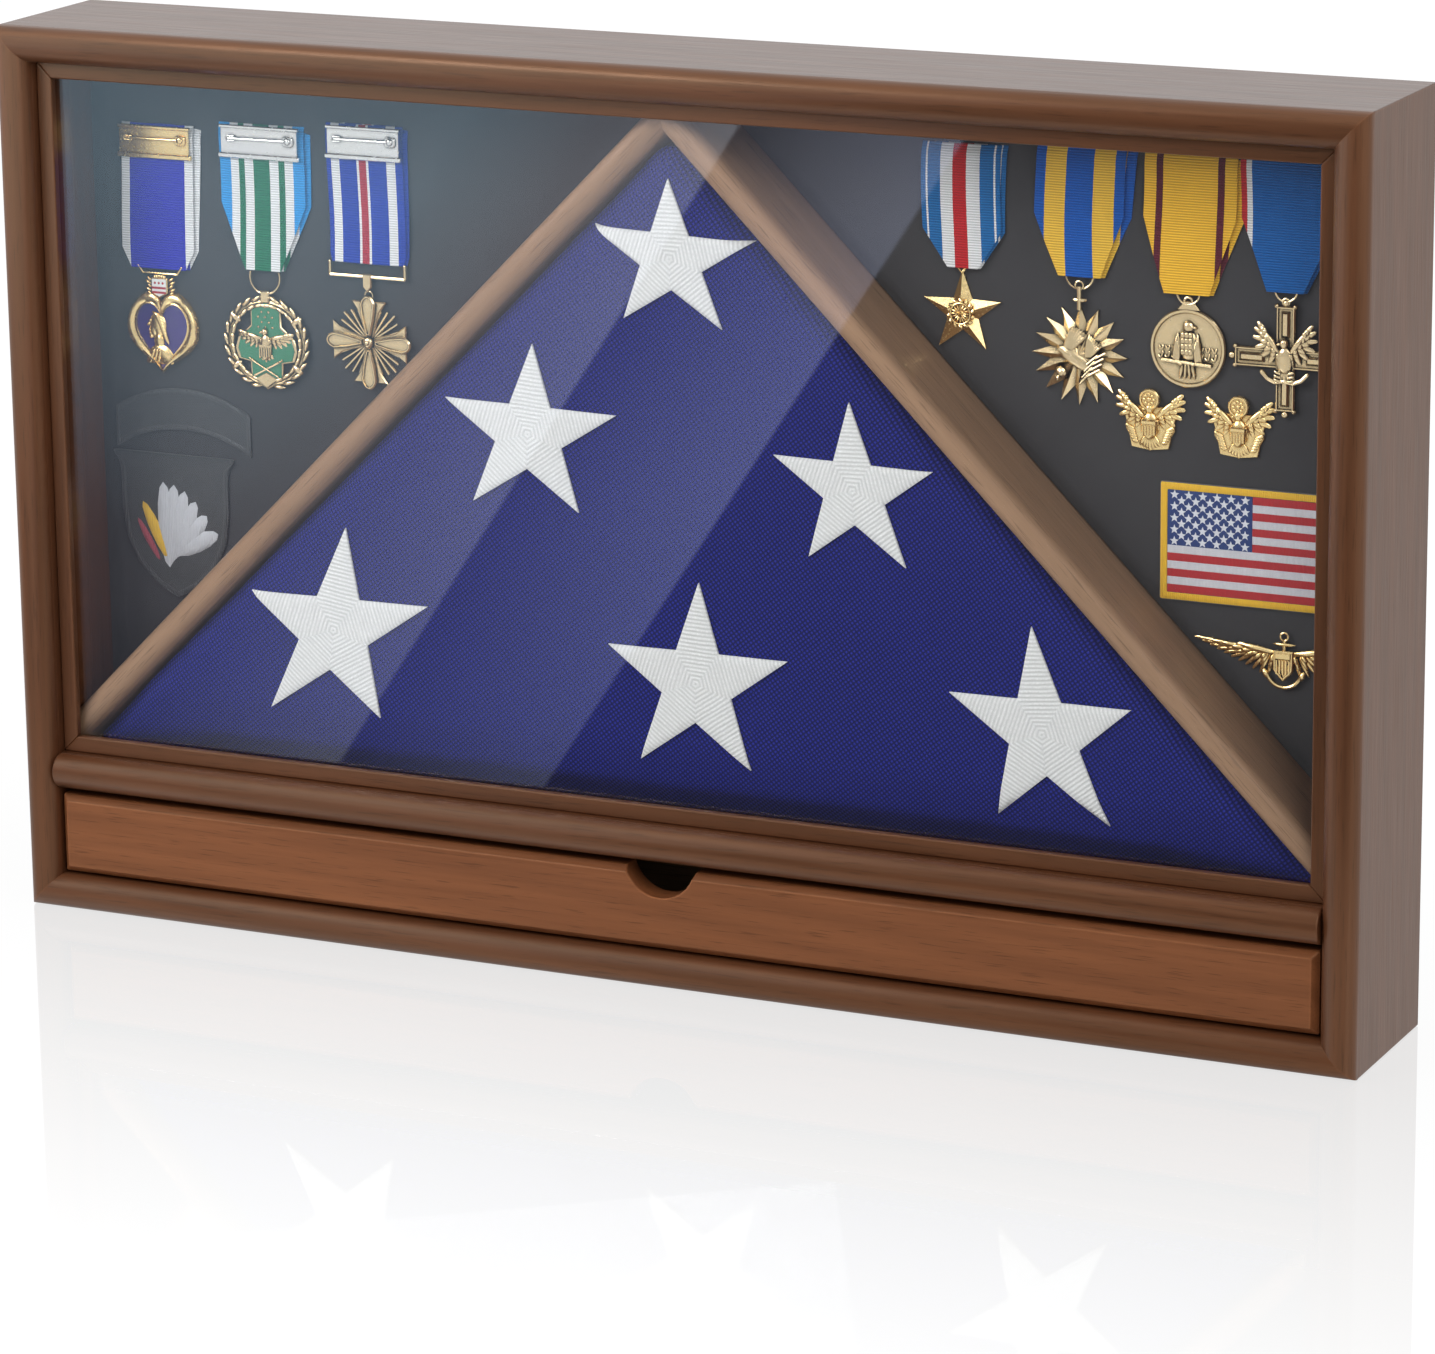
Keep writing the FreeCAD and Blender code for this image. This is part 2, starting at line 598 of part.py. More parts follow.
def hinges():
    length = "Sizes.hinge_length"
    end = "Sizes.knuckle_end"
    gap = "Sizes.knuckle_gap"
    case_knuckles = (("0", end), (f"{length} - {end}", length))
    door_knuckles = ((f"{end} + {gap}", f"{length} - {end} - {gap}"),)
    play = "Sizes.hinge_pin_radius + Sizes.hinge_pin_play"
    case_leaves, door_leaves, pins, case_screws, door_screws = [], [], [], [], []
    for level, fitting in FITTINGS.items():
        tight = "Sizes.hinge_pin_radius"
        case_leaves.append(hinge_leaf(f"{level}_case_leaf", 1, fitting, case_knuckles, tight))
        door_leaves.append(hinge_leaf(f"{level}_door_leaf", -1, fitting, door_knuckles, play))
        base = ("Places.hinge_x", "Places.hinge_y", f"{fitting} - {length} / 2")
        pins.append(cylinder(f"{level}_hinge_pin", "z", "Sizes.hinge_pin_radius", length, base))
        for sign, owner, screws in ((1, "case", case_screws), (-1, "door", door_screws)):
            for number, (x, z) in enumerate(leaf_screw_places(sign, fitting)):
                screws.append(
                    screw(
                        f"{level}_{owner}_screw{number}",
                        x,
                        z,
                        "Places.rear_y + Sizes.leaf_thick",
                        "Sizes.leaf_screw_radius",
                        f"Sizes.leaf_screw_{owner}_length",
                        "Sizes.leaf_screw_head",
                        "Sizes.leaf_screw_head_height",
                    )
                )
    keep(group("case_hinge_leaves", case_leaves))
    keep(group("door_hinge_leaves", door_leaves))
    keep(group("hinge_pins", pins))
    keep(group("case_hinge_screws", case_screws))
    keep(group("door_hinge_screws", door_screws))


def turn_buttons():
    """Flat bars with round ends that hang from a screw near one end."""
    radius = "Sizes.button_width / 2"
    base_y = "Places.rear_y + Sizes.button_gap"
    reach = "(Sizes.button_length - Sizes.button_width)"
    head_y = f"{base_y} + Sizes.button_thick + Sizes.button_gap"
    screws = []
    for level, fitting in FITTINGS.items():
        pivot = ("Places.button_x", base_y, fitting)
        tip = ("Places.button_x", base_y, f"{fitting} - {reach}")
        name = f"{level}_turn_button"
        bar = box(
            f"{name}_bar",
            (f"Places.button_x - {radius}", f"Places.button_x + {radius}"),
            (base_y, f"{base_y} + Sizes.button_thick"),
            (tip[2], fitting),
        )
        ends = [
            cylinder(f"{name}_{part}", "y", radius, "Sizes.button_thick", base)
            for part, base in (("round", pivot), ("tip", tip))
        ]
        hole = cylinder(
            f"{name}_hole",
            "y",
            "Sizes.button_screw_radius + Sizes.button_screw_play",
            "Sizes.button_thick",
            pivot,
        )
        keep(cut(name, fuse(f"{name}_blank", bar, *ends), hole))
        screws.append(
            screw(
                f"{level}_button_screw",
                "Places.button_x",
                fitting,
                head_y,
                "Sizes.button_screw_radius",
                "Sizes.button_screw_length",
                "Sizes.button_screw_head",
                "Sizes.button_screw_head_height",
            )
        )
    keep(group("turn_button_screws", screws))


def drawer():
    edge = ("-Places.drawer_x", "Places.drawer_x")
    tray = ("-Places.tray_x", "Places.tray_x")
    slab_z = ("Places.drawer_low", "Places.drawer_top")
    slab = box("drawer_slab", edge, ("Places.front_y", "Places.drawer_inner_y"), slab_z)
    bevel = doc.addObject("Part::Wedge", "drawer_bevel")
    bevel.Placement = Placement(Vector(), Rotation(Vector(1, 0, 0), 180))
    bevel.setExpression("Placement.Base.y", "Places.front_y")
    for corner, expression in {
        "Xmin": "-Places.drawer_x",
        "Xmax": "Places.drawer_x",
        "X2min": "-Places.drawer_x + Sizes.drawer_bevel",
        "X2max": "Places.drawer_x - Sizes.drawer_bevel",
        "Ymin": "0",
        "Ymax": "Sizes.drawer_bevel",
        "Zmin": "-Places.drawer_top",
        "Zmax": "-Places.drawer_low",
        "Z2min": "-Places.drawer_top + Sizes.drawer_bevel",
        "Z2max": "-Places.drawer_low - Sizes.drawer_bevel",
    }.items():
        bevel.setExpression(corner, expression)
    notch = cylinder(
        "finger_notch",
        "y",
        "Sizes.notch_radius",
        "Sizes.drawer_front_thick",
        ("0", "Places.drawer_face_y", "Places.drawer_top - Sizes.notch_depth + Sizes.notch_radius"),
    )
    keep(cut("drawer_front", fuse("drawer_front_blank", slab, bevel), notch))
    wall_z = ("Places.side_low", "Places.side_low + Sizes.drawer_side_height")
    back_y = "Places.drawer_end_y - Sizes.drawer_side_thick"
    side_y = ("Places.drawer_inner_y", "Places.drawer_end_y")
    plank = box("drawer_side_plank", ("Places.tray_x", "Places.drawer_x"), side_y, wall_z)
    let_in = "(Places.tray_x + Sizes.drawer_groove)"
    floor_z = ("Places.tray_floor - Sizes.drawer_bottom_thick", "Places.tray_floor")
    bottom = keep(box("drawer_bottom", (f"-{let_in}", let_in), ("Places.drawer_inner_y", back_y), floor_z))
    side = keep(cut("drawer_right_side", plank, bottom))
    keep(mirrored("drawer_left_side", side))
    keep(box("drawer_back", tray, (back_y, "Places.drawer_end_y"), wall_z))
    felt_x = "(Places.tray_x - Sizes.drawer_liner_gap)"
    felt_y = ("Places.drawer_inner_y + Sizes.drawer_liner_gap", f"{back_y} - Sizes.drawer_liner_gap")
    felt_z = ("Places.tray_floor", "Places.tray_floor + Sizes.drawer_liner_thick")
    keep(box("drawer_liner", (f"-{felt_x}", felt_x), felt_y, felt_z))


# Medals, pins and patches. Each form is drawn in the XZ plane, its back on Y = 0, and lies on the felt.
FORWARD = Vector(0, -1, 0)


def point(x, z, y=0.0):
    return Vector(x, y, z)


def polygon_plate(points, thickness):
    wire = Part.makePolygon([*points, points[0]])
    return Part.Face(wire).extrude(FORWARD * thickness)


def wire_plate(edges, thickness):
    return Part.Face(Part.Wire(edges)).extrude(FORWARD * thickness)


def arc(start, middle, end):
    return Part.Arc(point(*start), point(*middle), point(*end)).toShape()


def line(start, end):
    return Part.LineSegment(point(*start), point(*end)).toShape()


def disc(radius, thickness, x=0.0, z=0.0, y=0.0):
    return Part.makeCylinder(radius, thickness, point(x, z, y), FORWARD)


def bar(x, low, high, width, thickness):
    return Part.makeBox(width, thickness, high - low, point(x - width / 2, low, -thickness))


def both_halves(points):
    """A closed outline from its right half, listed from bottom to top."""
    return [*points, *((-x, z) for x, z in reversed(points) if x > 0)]


def turned(shape, quarter):
    """A copy turned by quarters of a circle in the plane of the felt."""
    copy = shape.copy()
    copy.rotate(point(0, 0), FORWARD, 90 * quarter)
    return copy


def spread_eagle(unit, thick):
    """The outline of an eagle with raised wings and a fanned tail; unit is half its height."""
    tail = [(0, -1), (0.18, -0.9), (0.34, -0.96), (0.48, -0.82), (0.62, -0.92), (0.72, -0.5)]
    wing = [(0.84, -0.3), (0.78, -0.12), (0.93, -0.02), (0.83, 0.14), (0.95, 0.3), (0.86, 0.42), (0.93, 0.6)]
    outline = both_halves([*tail, *wing, (0.4, 0.42)])
    return polygon_plate([point(x * unit, z * unit) for x, z in outline], thick)


def ridged_star(tips, outer, inner, base, peak):
    """A star whose points fall in ridges from a raised middle to a flat-backed rim."""
    rim = []
    for step in range(2 * tips):
        angle = math.pi / 2 + step * math.pi / tips
        reach = inner if step % 2 else outer
        rim.append((reach * math.cos(angle), reach * math.sin(angle)))
    back = [point(x, z) for x, z in rim]
    front = [point(x, z, -base) for x, z in rim]
    top = point(0, 0, -peak)
    faces = [Part.Face(Part.makePolygon([*back, back[0]]))]
    for index in range(len(rim)):
        after = (index + 1) % len(rim)
        side = [back[index], back[after], front[after], front[index]]
        slope = [front[index], front[after], top]
        faces += [Part.Face(Part.makePolygon([*corners, corners[0]])) for corners in (side, slope)]
    solid = Part.Solid(Part.Shell(faces))
    if solid.Volume < 0:
        solid.reverse()
    return solid


def heart_pendant(height, thick, relief):
    """A heart with a raised border, under a small crest."""
    lobe = height * 0.83 / 4
    brow = height / 2 - lobe - height * 0.1
    low = -height / 2

    def outline(share):
        def corner(x, z):
            return x * share, z * share

        right = corner(2 * lobe, brow)
        left = corner(-2 * lobe, brow)
        dip = corner(0, brow)
        tip = corner(0, low)
        return [
            arc(dip, corner(lobe, brow + lobe), right),
            arc(right, corner(1.42 * lobe, (brow + low) * 0.42), tip),
            arc(tip, corner(-1.42 * lobe, (brow + low) * 0.42), left),
            arc(left, corner(-lobe, brow + lobe), dip),
        ]

    field = wire_plate(outline(0.76), relief)
    field.translate(FORWARD * thick)
    border = wire_plate(outline(1.0), thick + relief).cut(field)
    crest = bar(0, brow, height / 2, lobe, thick + relief)
    return border.fuse(crest).removeSplitter()


def wreath_pendant(height, thick, relief):
    """An open ring round a plaque with peaked ends and broad arms."""
    outer = height / 2
    ring = disc(outer, thick + relief / 2).cut(disc(outer * 0.8, thick + relief / 2))
    lower = [(0, -0.96), (0.39, -0.76), (0.4, -0.43), (0.68, -0.38)]
    upper = [(0.76, -0.14), (0.68, 0.1), (0.37, 0.38), (0.37, 0.75), (0, 0.96)]
    plaque = [point(x * outer, z * outer) for x, z in both_halves(lower + upper)]
    return ring.fuse(polygon_plate(plaque, thick)).removeSplitter()


def flared_cross(reach, waist, flare, thick):
    arm = [(waist, waist), (flare, reach), (-flare, reach)]
    corners = []
    for quarter in range(4):
        c, s = round(math.cos(quarter * math.pi / 2)), round(math.sin(quarter * math.pi / 2))
        corners += [point(x * c - z * s, x * s + z * c) for x, z in arm]
    return polygon_plate(corners, thick)


def propeller_pendant(height, thick, relief):
    """A flared cross over a burst of rays, with four round-ended blades and a hub."""
    reach = height / 2
    cross = flared_cross(reach * 0.9, reach * 0.16, reach * 0.42, thick)
    rays = ridged_star(20, reach * 0.82, reach * 0.62, thick / 4, thick * 0.75)
    hub = disc(reach * 0.14, thick + relief)
    root = (reach * 0.05, reach * 0.08)
    shoulder = (reach * 0.17, reach * 0.74)
    edges = [
        line(root, shoulder),
        arc(shoulder, (0, reach), (-shoulder[0], shoulder[1])),
        line((-shoulder[0], shoulder[1]), (-root[0], root[1])),
        line((-root[0], root[1]), root),
    ]
    blade = wire_plate(edges, thick + relief / 2)
    return cross.fuse([rays, hub, *(turned(blade, quarter) for quarter in range(4))]).removeSplitter()


def star_pendant(height, thick, relief):
    """A ridged star with a round rosette on its middle."""
    outer = height / 2
    star = ridged_star(5, outer, outer * 0.382, thick / 2, thick + relief)
    return star.fuse(disc(outer * 0.3, thick + relief * 0.8)).removeSplitter()


def sunburst_pendant(height, thick, relief):
    outer = height / 2
    rays = ridged_star(16, outer, outer * 0.7, thick / 2, thick + relief / 2)
    return rays.fuse(disc(outer * 0.55, thick + relief))


def disc_pendant(height, thick, relief):
    outer = height / 2
    field = disc(outer * 0.9, relief / 4, y=-thick)
    return disc(outer, thick + relief / 4).cut(field)


def cross_pendant(height, thick, relief):
    """A cross with framed arms and a spread eagle on its middle."""
    reach = height / 2
    half = reach * 0.19
    arms = [(half, half), (half, reach), (-half, reach), (-half, half), (-reach, half), (-reach, -half)]
    outline = [point(x, z) for x, z in arms + [(-x, -z) for x, z in arms]]
    panel = bar(0, reach * 0.5, reach - half / 2, half, relief / 4)
    panel.translate(FORWARD * (thick - relief / 4))
    cross = polygon_plate(outline, thick).cut([turned(panel, quarter) for quarter in range(4)])
    return cross.fuse(spread_eagle(reach * 0.42, thick + relief)).removeSplitter()


PENDANTS = {
    "heart": heart_pendant,
    "wreath": wreath_pendant,
    "propeller": propeller_pendant,
    "star": star_pendant,
    "sunburst": sunburst_pendant,
    "disc": disc_pendant,
    "cross": cross_pendant,
}
BROOCHED = ("heart", "wreath", "propeller")
# Wire hangers, by how far they reach to each side under the ribbon and at their foot, as shares of its width.
WIRED = {"heart": (0.3, 0.24), "propeller": (0.5, 0.5)}


def wire_hanger(hang, upper, lower, width, thick):
    """A shallow U under the ribbon's foot, with a tab down into the pendant."""
    drop = hang * 0.45
    inset = width * 0.6
    right = [(lower, -drop), (upper, 0), (upper - inset, 0), (lower - inset, inset - drop)]
    corners = right + [(-x, z) for x, z in reversed(right)]
    span = polygon_plate([point(x, z) for x, z in corners], thick)
    return span.fuse(bar(0, -hang - width, -drop, width, thick))


def ring_hanger(hang, width, thick):
    """The lower half of a flat ring under the ribbon's foot, with a tab down into the pendant."""
    outer = max(hang * 0.6, width * 1.2)
    inner = outer - width / 2
    ring = disc(outer, thick / 2).cut(disc(inner, thick / 2))
    lower = ring.cut(bar(0, 0, outer, 2 * outer, thick / 2))
    return lower.fuse(bar(0, -hang - width, -inner, width, thick))


def medals():
    """Each medal: a ribbon that narrows to its foot, a link, and the pendant below it."""
    felt = place("felt_y")
    thick = size("pendant_thick")
    relief = size("pendant_relief")
    for medal, (side, _) in MEDALS.items():
        x = f"{side} * (Places.wall_x - {fitted(medal + '_from_wall')})"
        top = f"Places.ceiling_z - {fitted(medal + '_drop')}"
        end = f"{top} - {fitted(medal + '_ribbon_long')}"
        knee = f"{end} + {fitted(medal + '_taper')}"
        wide = f"{fitted(medal + '_ribbon_wide')} / 2"
        foot = f"{fitted(medal + '_foot')} / 2"
        right = ((f"{x} + {foot}", end), (f"{x} + {wide}", knee), (f"{x} + {wide}", top))
        left = ((f"{x} - {wide}", top), (f"{x} - {wide}", knee), (f"{x} - {foot}", end))
        keep(outline_body(f"{medal}_ribbon", (*right, *left), "Sizes.ribbon_thick", "Places.felt_y"))
        height = fitted_size(f"{medal}_size")
        hang = fitted_size(f"{medal}_hang")
        below = fitted_size(f"{medal}_drop") + fitted_size(f"{medal}_ribbon_long")
        middle_z = place("ceiling_z") - below - hang - height / 2
        width = fitted_size("hanger_width")
        if medal in WIRED:
            upper, lower = (share * fitted_size(f"{medal}_ribbon_wide") for share in WIRED[medal])
            hanger = wire_hanger(hang, upper, lower, width, thick)
        else:
            hanger = ring_hanger(hang, width, thick)
        hanger.translate(Vector(0, 0, height / 2 + hang))
        pendant = PENDANTS[medal](height, thick, relief).fuse(hanger).removeSplitter()
        middle_x = side * (place("wall_x") - fitted_size(f"{medal}_from_wall"))
        shaped(f"{medal}_pendant", pendant, middle_x, felt, middle_z)


def brooch_bars():
    bars = []
    y = ("Places.felt_y - Sizes.ribbon_thick - Sizes.brooch_thick", "Places.felt_y - Sizes.ribbon_thick")
    for medal in BROOCHED:
        middle = f"-(Places.wall_x - {fitted(medal + '_from_wall')})"
        top = f"Places.ceiling_z - {fitted(medal + '_drop')}"
        half = f"{fitted('brooch_width')} / 2"
        low = f"{top} - {fitted('brooch_height')}"
        bars.append(box(f"{medal}_brooch", (f"{middle} - {half}", f"{middle} + {half}"), y, (low, top)))
    keep(group("brooch_bars", bars))


def collar_pins():
    """Two spread eagles under a round crest, each with a shield, on a thin plate."""
    unit = fitted_size("collar_pin_height") / 2
    thick = size("pendant_thick")
    crest = disc(unit * 0.4, thick * 1.2, z=unit * 0.6)
    half_shield = [(0, -0.62), (0.24, -0.4), (0.28, 0.06)]
    shield = polygon_plate([point(x * unit, z * unit) for x, z in both_halves(half_shield)], thick * 1.2)
    eagle = spread_eagle(unit, thick).fuse([crest, shield]).removeSplitter()
    pins = []
    for distance in ("collar_pin_near", "collar_pin_far"):
        one = eagle.copy()
        one.translate(Vector(place("wall_x") - fitted_size(distance), 0, 0))
        pins.append(one)
    z = place("ceiling_z") - fitted_size("collar_pin_drop")
    shaped("collar_pins", Part.makeCompound(pins), 0, place("felt_y"), z)


def wings_pin():
    """A pair of wings with a shield in the middle."""
    reach = fitted_size("wings_span") / 2
    inner = [(0, -0.42), (0.12, -0.34), (0.2, -0.26), (0.3, -0.28), (0.36, -0.18), (0.48, -0.19)]
    tips = [(0.54, -0.09), (0.66, -0.08), (0.72, 0.02), (0.84, 0.06), (1, 0.26), (0.2, 0.2)]
    outline = [point(x * reach, z * reach) for x, z in both_halves(inner + tips)]
    wings = polygon_plate(outline, size("pendant_thick"))
    stock = bar(0, 0, reach * 0.4, reach * 0.12, size("pendant_thick"))
    shield = disc(reach * 0.24, size("pendant_thick") + size("pendant_relief") / 2, z=-reach * 0.08)
    z = place("banner_low") - fitted_size("wings_gap") - reach * 0.4
    x = place("wall_x") - fitted_size("wings_wall_gap") - reach
    shaped("wings_pin", wings.fuse([stock, shield]).removeSplitter(), x, place("felt_y"), z)


def patches():
    """An arched tab, a shield and a flag, sewn patches that lie on the felt."""
    thick = size("patch_thick")
    felt = place("felt_y")
    half = fitted_size("tab_width") / 2
    rise = fitted_size("tab_rise")
    height = fitted_size("tab_height")
    band = [
        arc((-half, -rise), (0, 0), (half, -rise)),
        line((half, -rise), (half, -rise - height)),
        arc((half, -rise - height), (0, -height), (-half, -rise - height)),
        line((-half, -rise - height), (-half, -rise)),
    ]
    tab_x = -(place("wall_x") - fitted_size("tab_wall_gap") - half)
    shaped("tab_patch", wire_plate(band, thick), tab_x, felt, place("ceiling_z") - fitted_size("tab_drop"))
    half = fitted_size("shield_width") / 2
    height = fitted_size("shield_height")
    shield = [
        line((-half, 0), (half, 0)),
        arc((half, 0), (half * 0.97, -height * 0.38), (half * 0.8, -height * 0.7)),
        line((half * 0.8, -height * 0.7), (0, -height)),
        line((0, -height), (-half * 0.8, -height * 0.7)),
        arc((-half * 0.8, -height * 0.7), (-half * 0.97, -height * 0.38), (-half, 0)),
    ]
    shield_x = -(place("wall_x") - fitted_size("shield_wall_gap") - half)
    shield_z = place("ceiling_z") - fitted_size("shield_drop")
    shaped("shield_patch", wire_plate(shield, thick), shield_x, felt, shield_z)
    outer = f"Places.wall_x - {fitted('banner_wall_gap')}"
    x = (f"{outer} - {fitted('banner_width')}", outer)
    y = ("Places.felt_y - Sizes.patch_thick", "Places.felt_y")
    z = ("Places.banner_low", f"Places.banner_low + {fitted('banner_height')}")
    keep(box("flag_patch", x, y, z))


for frame_side in RAIL_TURNS:
    outer_board(frame_side)
    edge_bead(frame_side)
    window_lip(frame_side)
shelf_and_middle_bead()
glass()
glass_stops()
slats()
corner_plates()
folded_flag()
door_and_back_panel()
hinges()
turn_buttons()
drawer()
medals()
brooch_bars()
collar_pins()
wings_pin()
patches()
doc.recompute()

for item in doc.Objects:
    if "Invalid" in item.State or "Error" in item.State:
        raise RuntimeError(f"{item.Label} failed: {item.State}")
for item in sub_parts:
    if item.Shape.isNull() or not item.Shape.isValid() or not item.Shape.Solids:
        raise RuntimeError(f"{item.Label} has no valid solid")

os.makedirs("parts", exist_ok=True)
for item in sub_parts:
    item.Shape.exportStep(os.path.join("parts", f"{item.Label}.step"))
print(f"{len(sub_parts)} sub-parts")
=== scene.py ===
"""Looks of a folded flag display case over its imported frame: wood, glass, flag, medals, patches, brass."""

import math

import bmesh
import bpy
from bpy.props import FloatProperty, FloatVectorProperty, PointerProperty
from mathutils import Matrix, Vector, noise
from mathutils.bvhtree import BVHTree


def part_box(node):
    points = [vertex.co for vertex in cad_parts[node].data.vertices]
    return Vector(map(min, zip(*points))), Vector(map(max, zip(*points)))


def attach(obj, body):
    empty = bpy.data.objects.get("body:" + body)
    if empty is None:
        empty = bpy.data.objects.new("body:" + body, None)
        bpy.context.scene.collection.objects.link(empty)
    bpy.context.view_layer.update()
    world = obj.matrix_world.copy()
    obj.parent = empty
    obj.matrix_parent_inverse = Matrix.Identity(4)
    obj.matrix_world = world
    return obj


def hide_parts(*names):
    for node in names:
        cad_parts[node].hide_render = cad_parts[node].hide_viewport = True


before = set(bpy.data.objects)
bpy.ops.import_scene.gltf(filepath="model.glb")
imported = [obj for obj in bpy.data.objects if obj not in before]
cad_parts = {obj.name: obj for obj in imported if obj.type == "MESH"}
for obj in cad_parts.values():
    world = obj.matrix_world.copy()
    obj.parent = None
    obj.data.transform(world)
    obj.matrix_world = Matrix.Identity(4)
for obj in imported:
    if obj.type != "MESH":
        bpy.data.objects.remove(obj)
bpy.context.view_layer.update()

bl_info = {
    "name": "Folded flag display case",
    "version": (1, 0, 0),
    "blender": (4, 5, 0),
    "location": "View3D > Sidebar > Flag case",
    "description": "Dresses a display case for a folded flag, with its medals, patches and fittings",
    "category": "Object",
}

FELT_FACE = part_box("left_felt")[0].y
MM = 0.001
# Scale of a Wave texture whose bands lie one metre apart.
WAVE_SCALE = 0.31416


def colour(label, about, value):
    return FloatVectorProperty(
        name=label, description=about, default=value, subtype="COLOR", size=3, min=0, max=1
    )


def length(label, about, value):
    return FloatProperty(
        name=label, description=about, default=value, unit="LENGTH", subtype="DISTANCE", min=0
    )


class CASE_PG_wood(bpy.types.PropertyGroup):
    """Woodwork of the case and its drawer."""

    walnut_dark: colour(
        "Walnut dark", "Late wood, in the dark bands of the boards", (0.043, 0.0146, 0.0060)
    )
    walnut_light: colour("Walnut light", "Early wood, between the dark bands", (0.106, 0.0370, 0.0150))
    slat: colour("Slat", "Paler wood of the two sloping slats", (0.330, 0.205, 0.130))
    drawer_dark: colour("Drawer dark", "Dark bands of the redder drawer front", (0.108, 0.035, 0.013))
    drawer_light: colour("Drawer light", "Light bands of the drawer front", (0.212, 0.074, 0.028))
    drawer_worn: colour("Drawer worn", "Bare wood on the bevel of the drawer front", (0.440, 0.165, 0.062))
    box_wood: colour("Drawer box", "Pale wood of the drawer's sides", (0.420, 0.270, 0.150))
    back_board: colour("Back board", "Thin board of the door and the back panel", (0.230, 0.130, 0.068))
    edge_round: length("Edge round", "Radius sanded onto the edges of the boards", 0.0009)


class CASE_PG_cloth(bpy.types.PropertyGroup):
    """Flag, felt, ribbons and patches."""

    flag_blue: colour("Flag blue", "Dyed cloth of the folded flag", (0.0034, 0.0050, 0.058))
    star_white: colour("Star white", "Thread of the embroidered stars", (0.830, 0.830, 0.835))
    felt_grey: colour("Felt grey", "Felt behind the medals", (0.038, 0.037, 0.040))
    patch_grey: colour("Patch grey", "Ground of the tab and the shield patch", (0.036, 0.037, 0.040))
    weave_pitch: length("Weave pitch", "Distance from thread to thread in the flag", 0.0017)
    rib_pitch: length("Rib pitch", "Distance from rib to rib in the ribbons", 0.0011)
    stitch_pitch: length("Stitch pitch", "Distance between stitches of the embroidery", 0.0009)
    star_inner: FloatProperty(
        name="Star waist", description="Inner radius of a star as a share of its outer one",
        default=0.385, min=0.2, max=0.8,
    )


class CASE_PG_metal(bpy.types.PropertyGroup):
    """Pendants, pins, bars and hinges."""

    gold: colour("Gold", "Gilt pins and pendants", (1.000, 0.760, 0.360))
    gold_dark: colour("Gold shade", "Gilt metal down in the relief", (0.480, 0.270, 0.070))
    bronze: colour("Bronze", "Struck bronze pendants", (0.840, 0.670, 0.400))
    bronze_dark: colour("Bronze shade", "Bronze gone dark down in the relief", (0.030, 0.020, 0.009))
    silver: colour("Silver", "Plated brooch bars", (0.840, 0.835, 0.815))
    brass: colour("Brass", "Hinges, screws and turn buttons", (0.640, 0.440, 0.180))


class CASE_PG_stage(bpy.types.PropertyGroup):
    """Camera, floor and light."""

    camera_place: FloatVectorProperty(
        name="Camera place", description="Where the camera stands", default=(1.0781, -2.2576, 0.8015),
        unit="LENGTH", size=3,
    )
    camera_turn: FloatVectorProperty(
        name="Camera turn",
        description="Tilt from straight down, roll and heading of the camera",
        default=(math.radians(74.982), math.radians(-0.680), math.radians(25.329)),
        unit="ROTATION",
        size=3,
    )
    lens: FloatProperty(
        name="Lens", description="Focal length for a 36 mm wide picture", default=148.41, min=10
    )
    floor_mirror: FloatProperty(
        name="Floor mirror", description="Share of the case that the floor mirrors at its foot",
        default=0.28, min=0, max=1,
    )


def add(tree, kind, inputs=None, **settings):
    """Adds a node, sets it up and fills or links its inputs."""
    made = tree.nodes.new(kind)
    for name, value in settings.items():
        setattr(made, name, value)
    for name, value in (inputs or {}).items():
        if isinstance(value, bpy.types.NodeSocket):
            tree.links.new(value, made.inputs[name])
        else:
            made.inputs[name].default_value = value
    return made


def sums(tree, operation, first, second=0.0, third=0.0, clamp=False):
    return add(
        tree, "ShaderNodeMath", {0: first, 1: second, 2: third}, operation=operation, use_clamp=clamp
    ).outputs[0]


def rgba(value):
    return value if isinstance(value, bpy.types.NodeSocket) else (*value[:3], 1.0)


def mixed(tree, factor, first, second, mode="MIX"):
    made = add(
        tree, "ShaderNodeMix", {0: factor, 6: rgba(first), 7: rgba(second)}, data_type="RGBA",
        blend_type=mode,
    )
    return made.outputs[2]


def span(tree, value, low, high, to_low=0.0, to_high=1.0, smooth=False):
    inputs = {"Value": value, "From Min": low, "From Max": high, "To Min": to_low, "To Max": to_high}
    kind = "SMOOTHSTEP" if smooth else "LINEAR"
    return add(tree, "ShaderNodeMapRange", inputs, interpolation_type=kind, clamp=True).outputs[0]


def bands(tree, factor, stops):
    """Colour stripes with hard edges: stops are (share where the stripe ends, colour)."""
    made = add(tree, "ShaderNodeValToRGB", {"Fac": factor})
    ramp = made.color_ramp
    ramp.interpolation = "CONSTANT"
    start = 0.0
    for index, (stop, value) in enumerate(stops):
        element = ramp.elements[index] if index < 2 else ramp.elements.new(start)
        element.position = start
        element.color = rgba(value)
        start = stop
    return made.outputs["Color"]


def scaled(tree, vector, scale, turn=(0, 0, 0), shift=(0, 0, 0)):
    return add(
        tree, "ShaderNodeMapping", {"Vector": vector, "Scale": scale, "Rotation": turn, "Location": shift}
    ).outputs[0]


def cloudy(tree, vector, scale, detail=2.0, rough=0.5):
    return add(
        tree, "ShaderNodeTexNoise", {"Vector": vector, "Scale": scale, "Detail": detail, "Roughness": rough}
    ).outputs[0]


def rows(tree, vector, pitch, axis, wander=0.0):
    inputs = {"Vector": vector, "Scale": WAVE_SCALE / pitch, "Distortion": wander, "Detail": 0.0}
    return add(tree, "ShaderNodeTexWave", inputs, bands_direction=axis).outputs["Fac"]


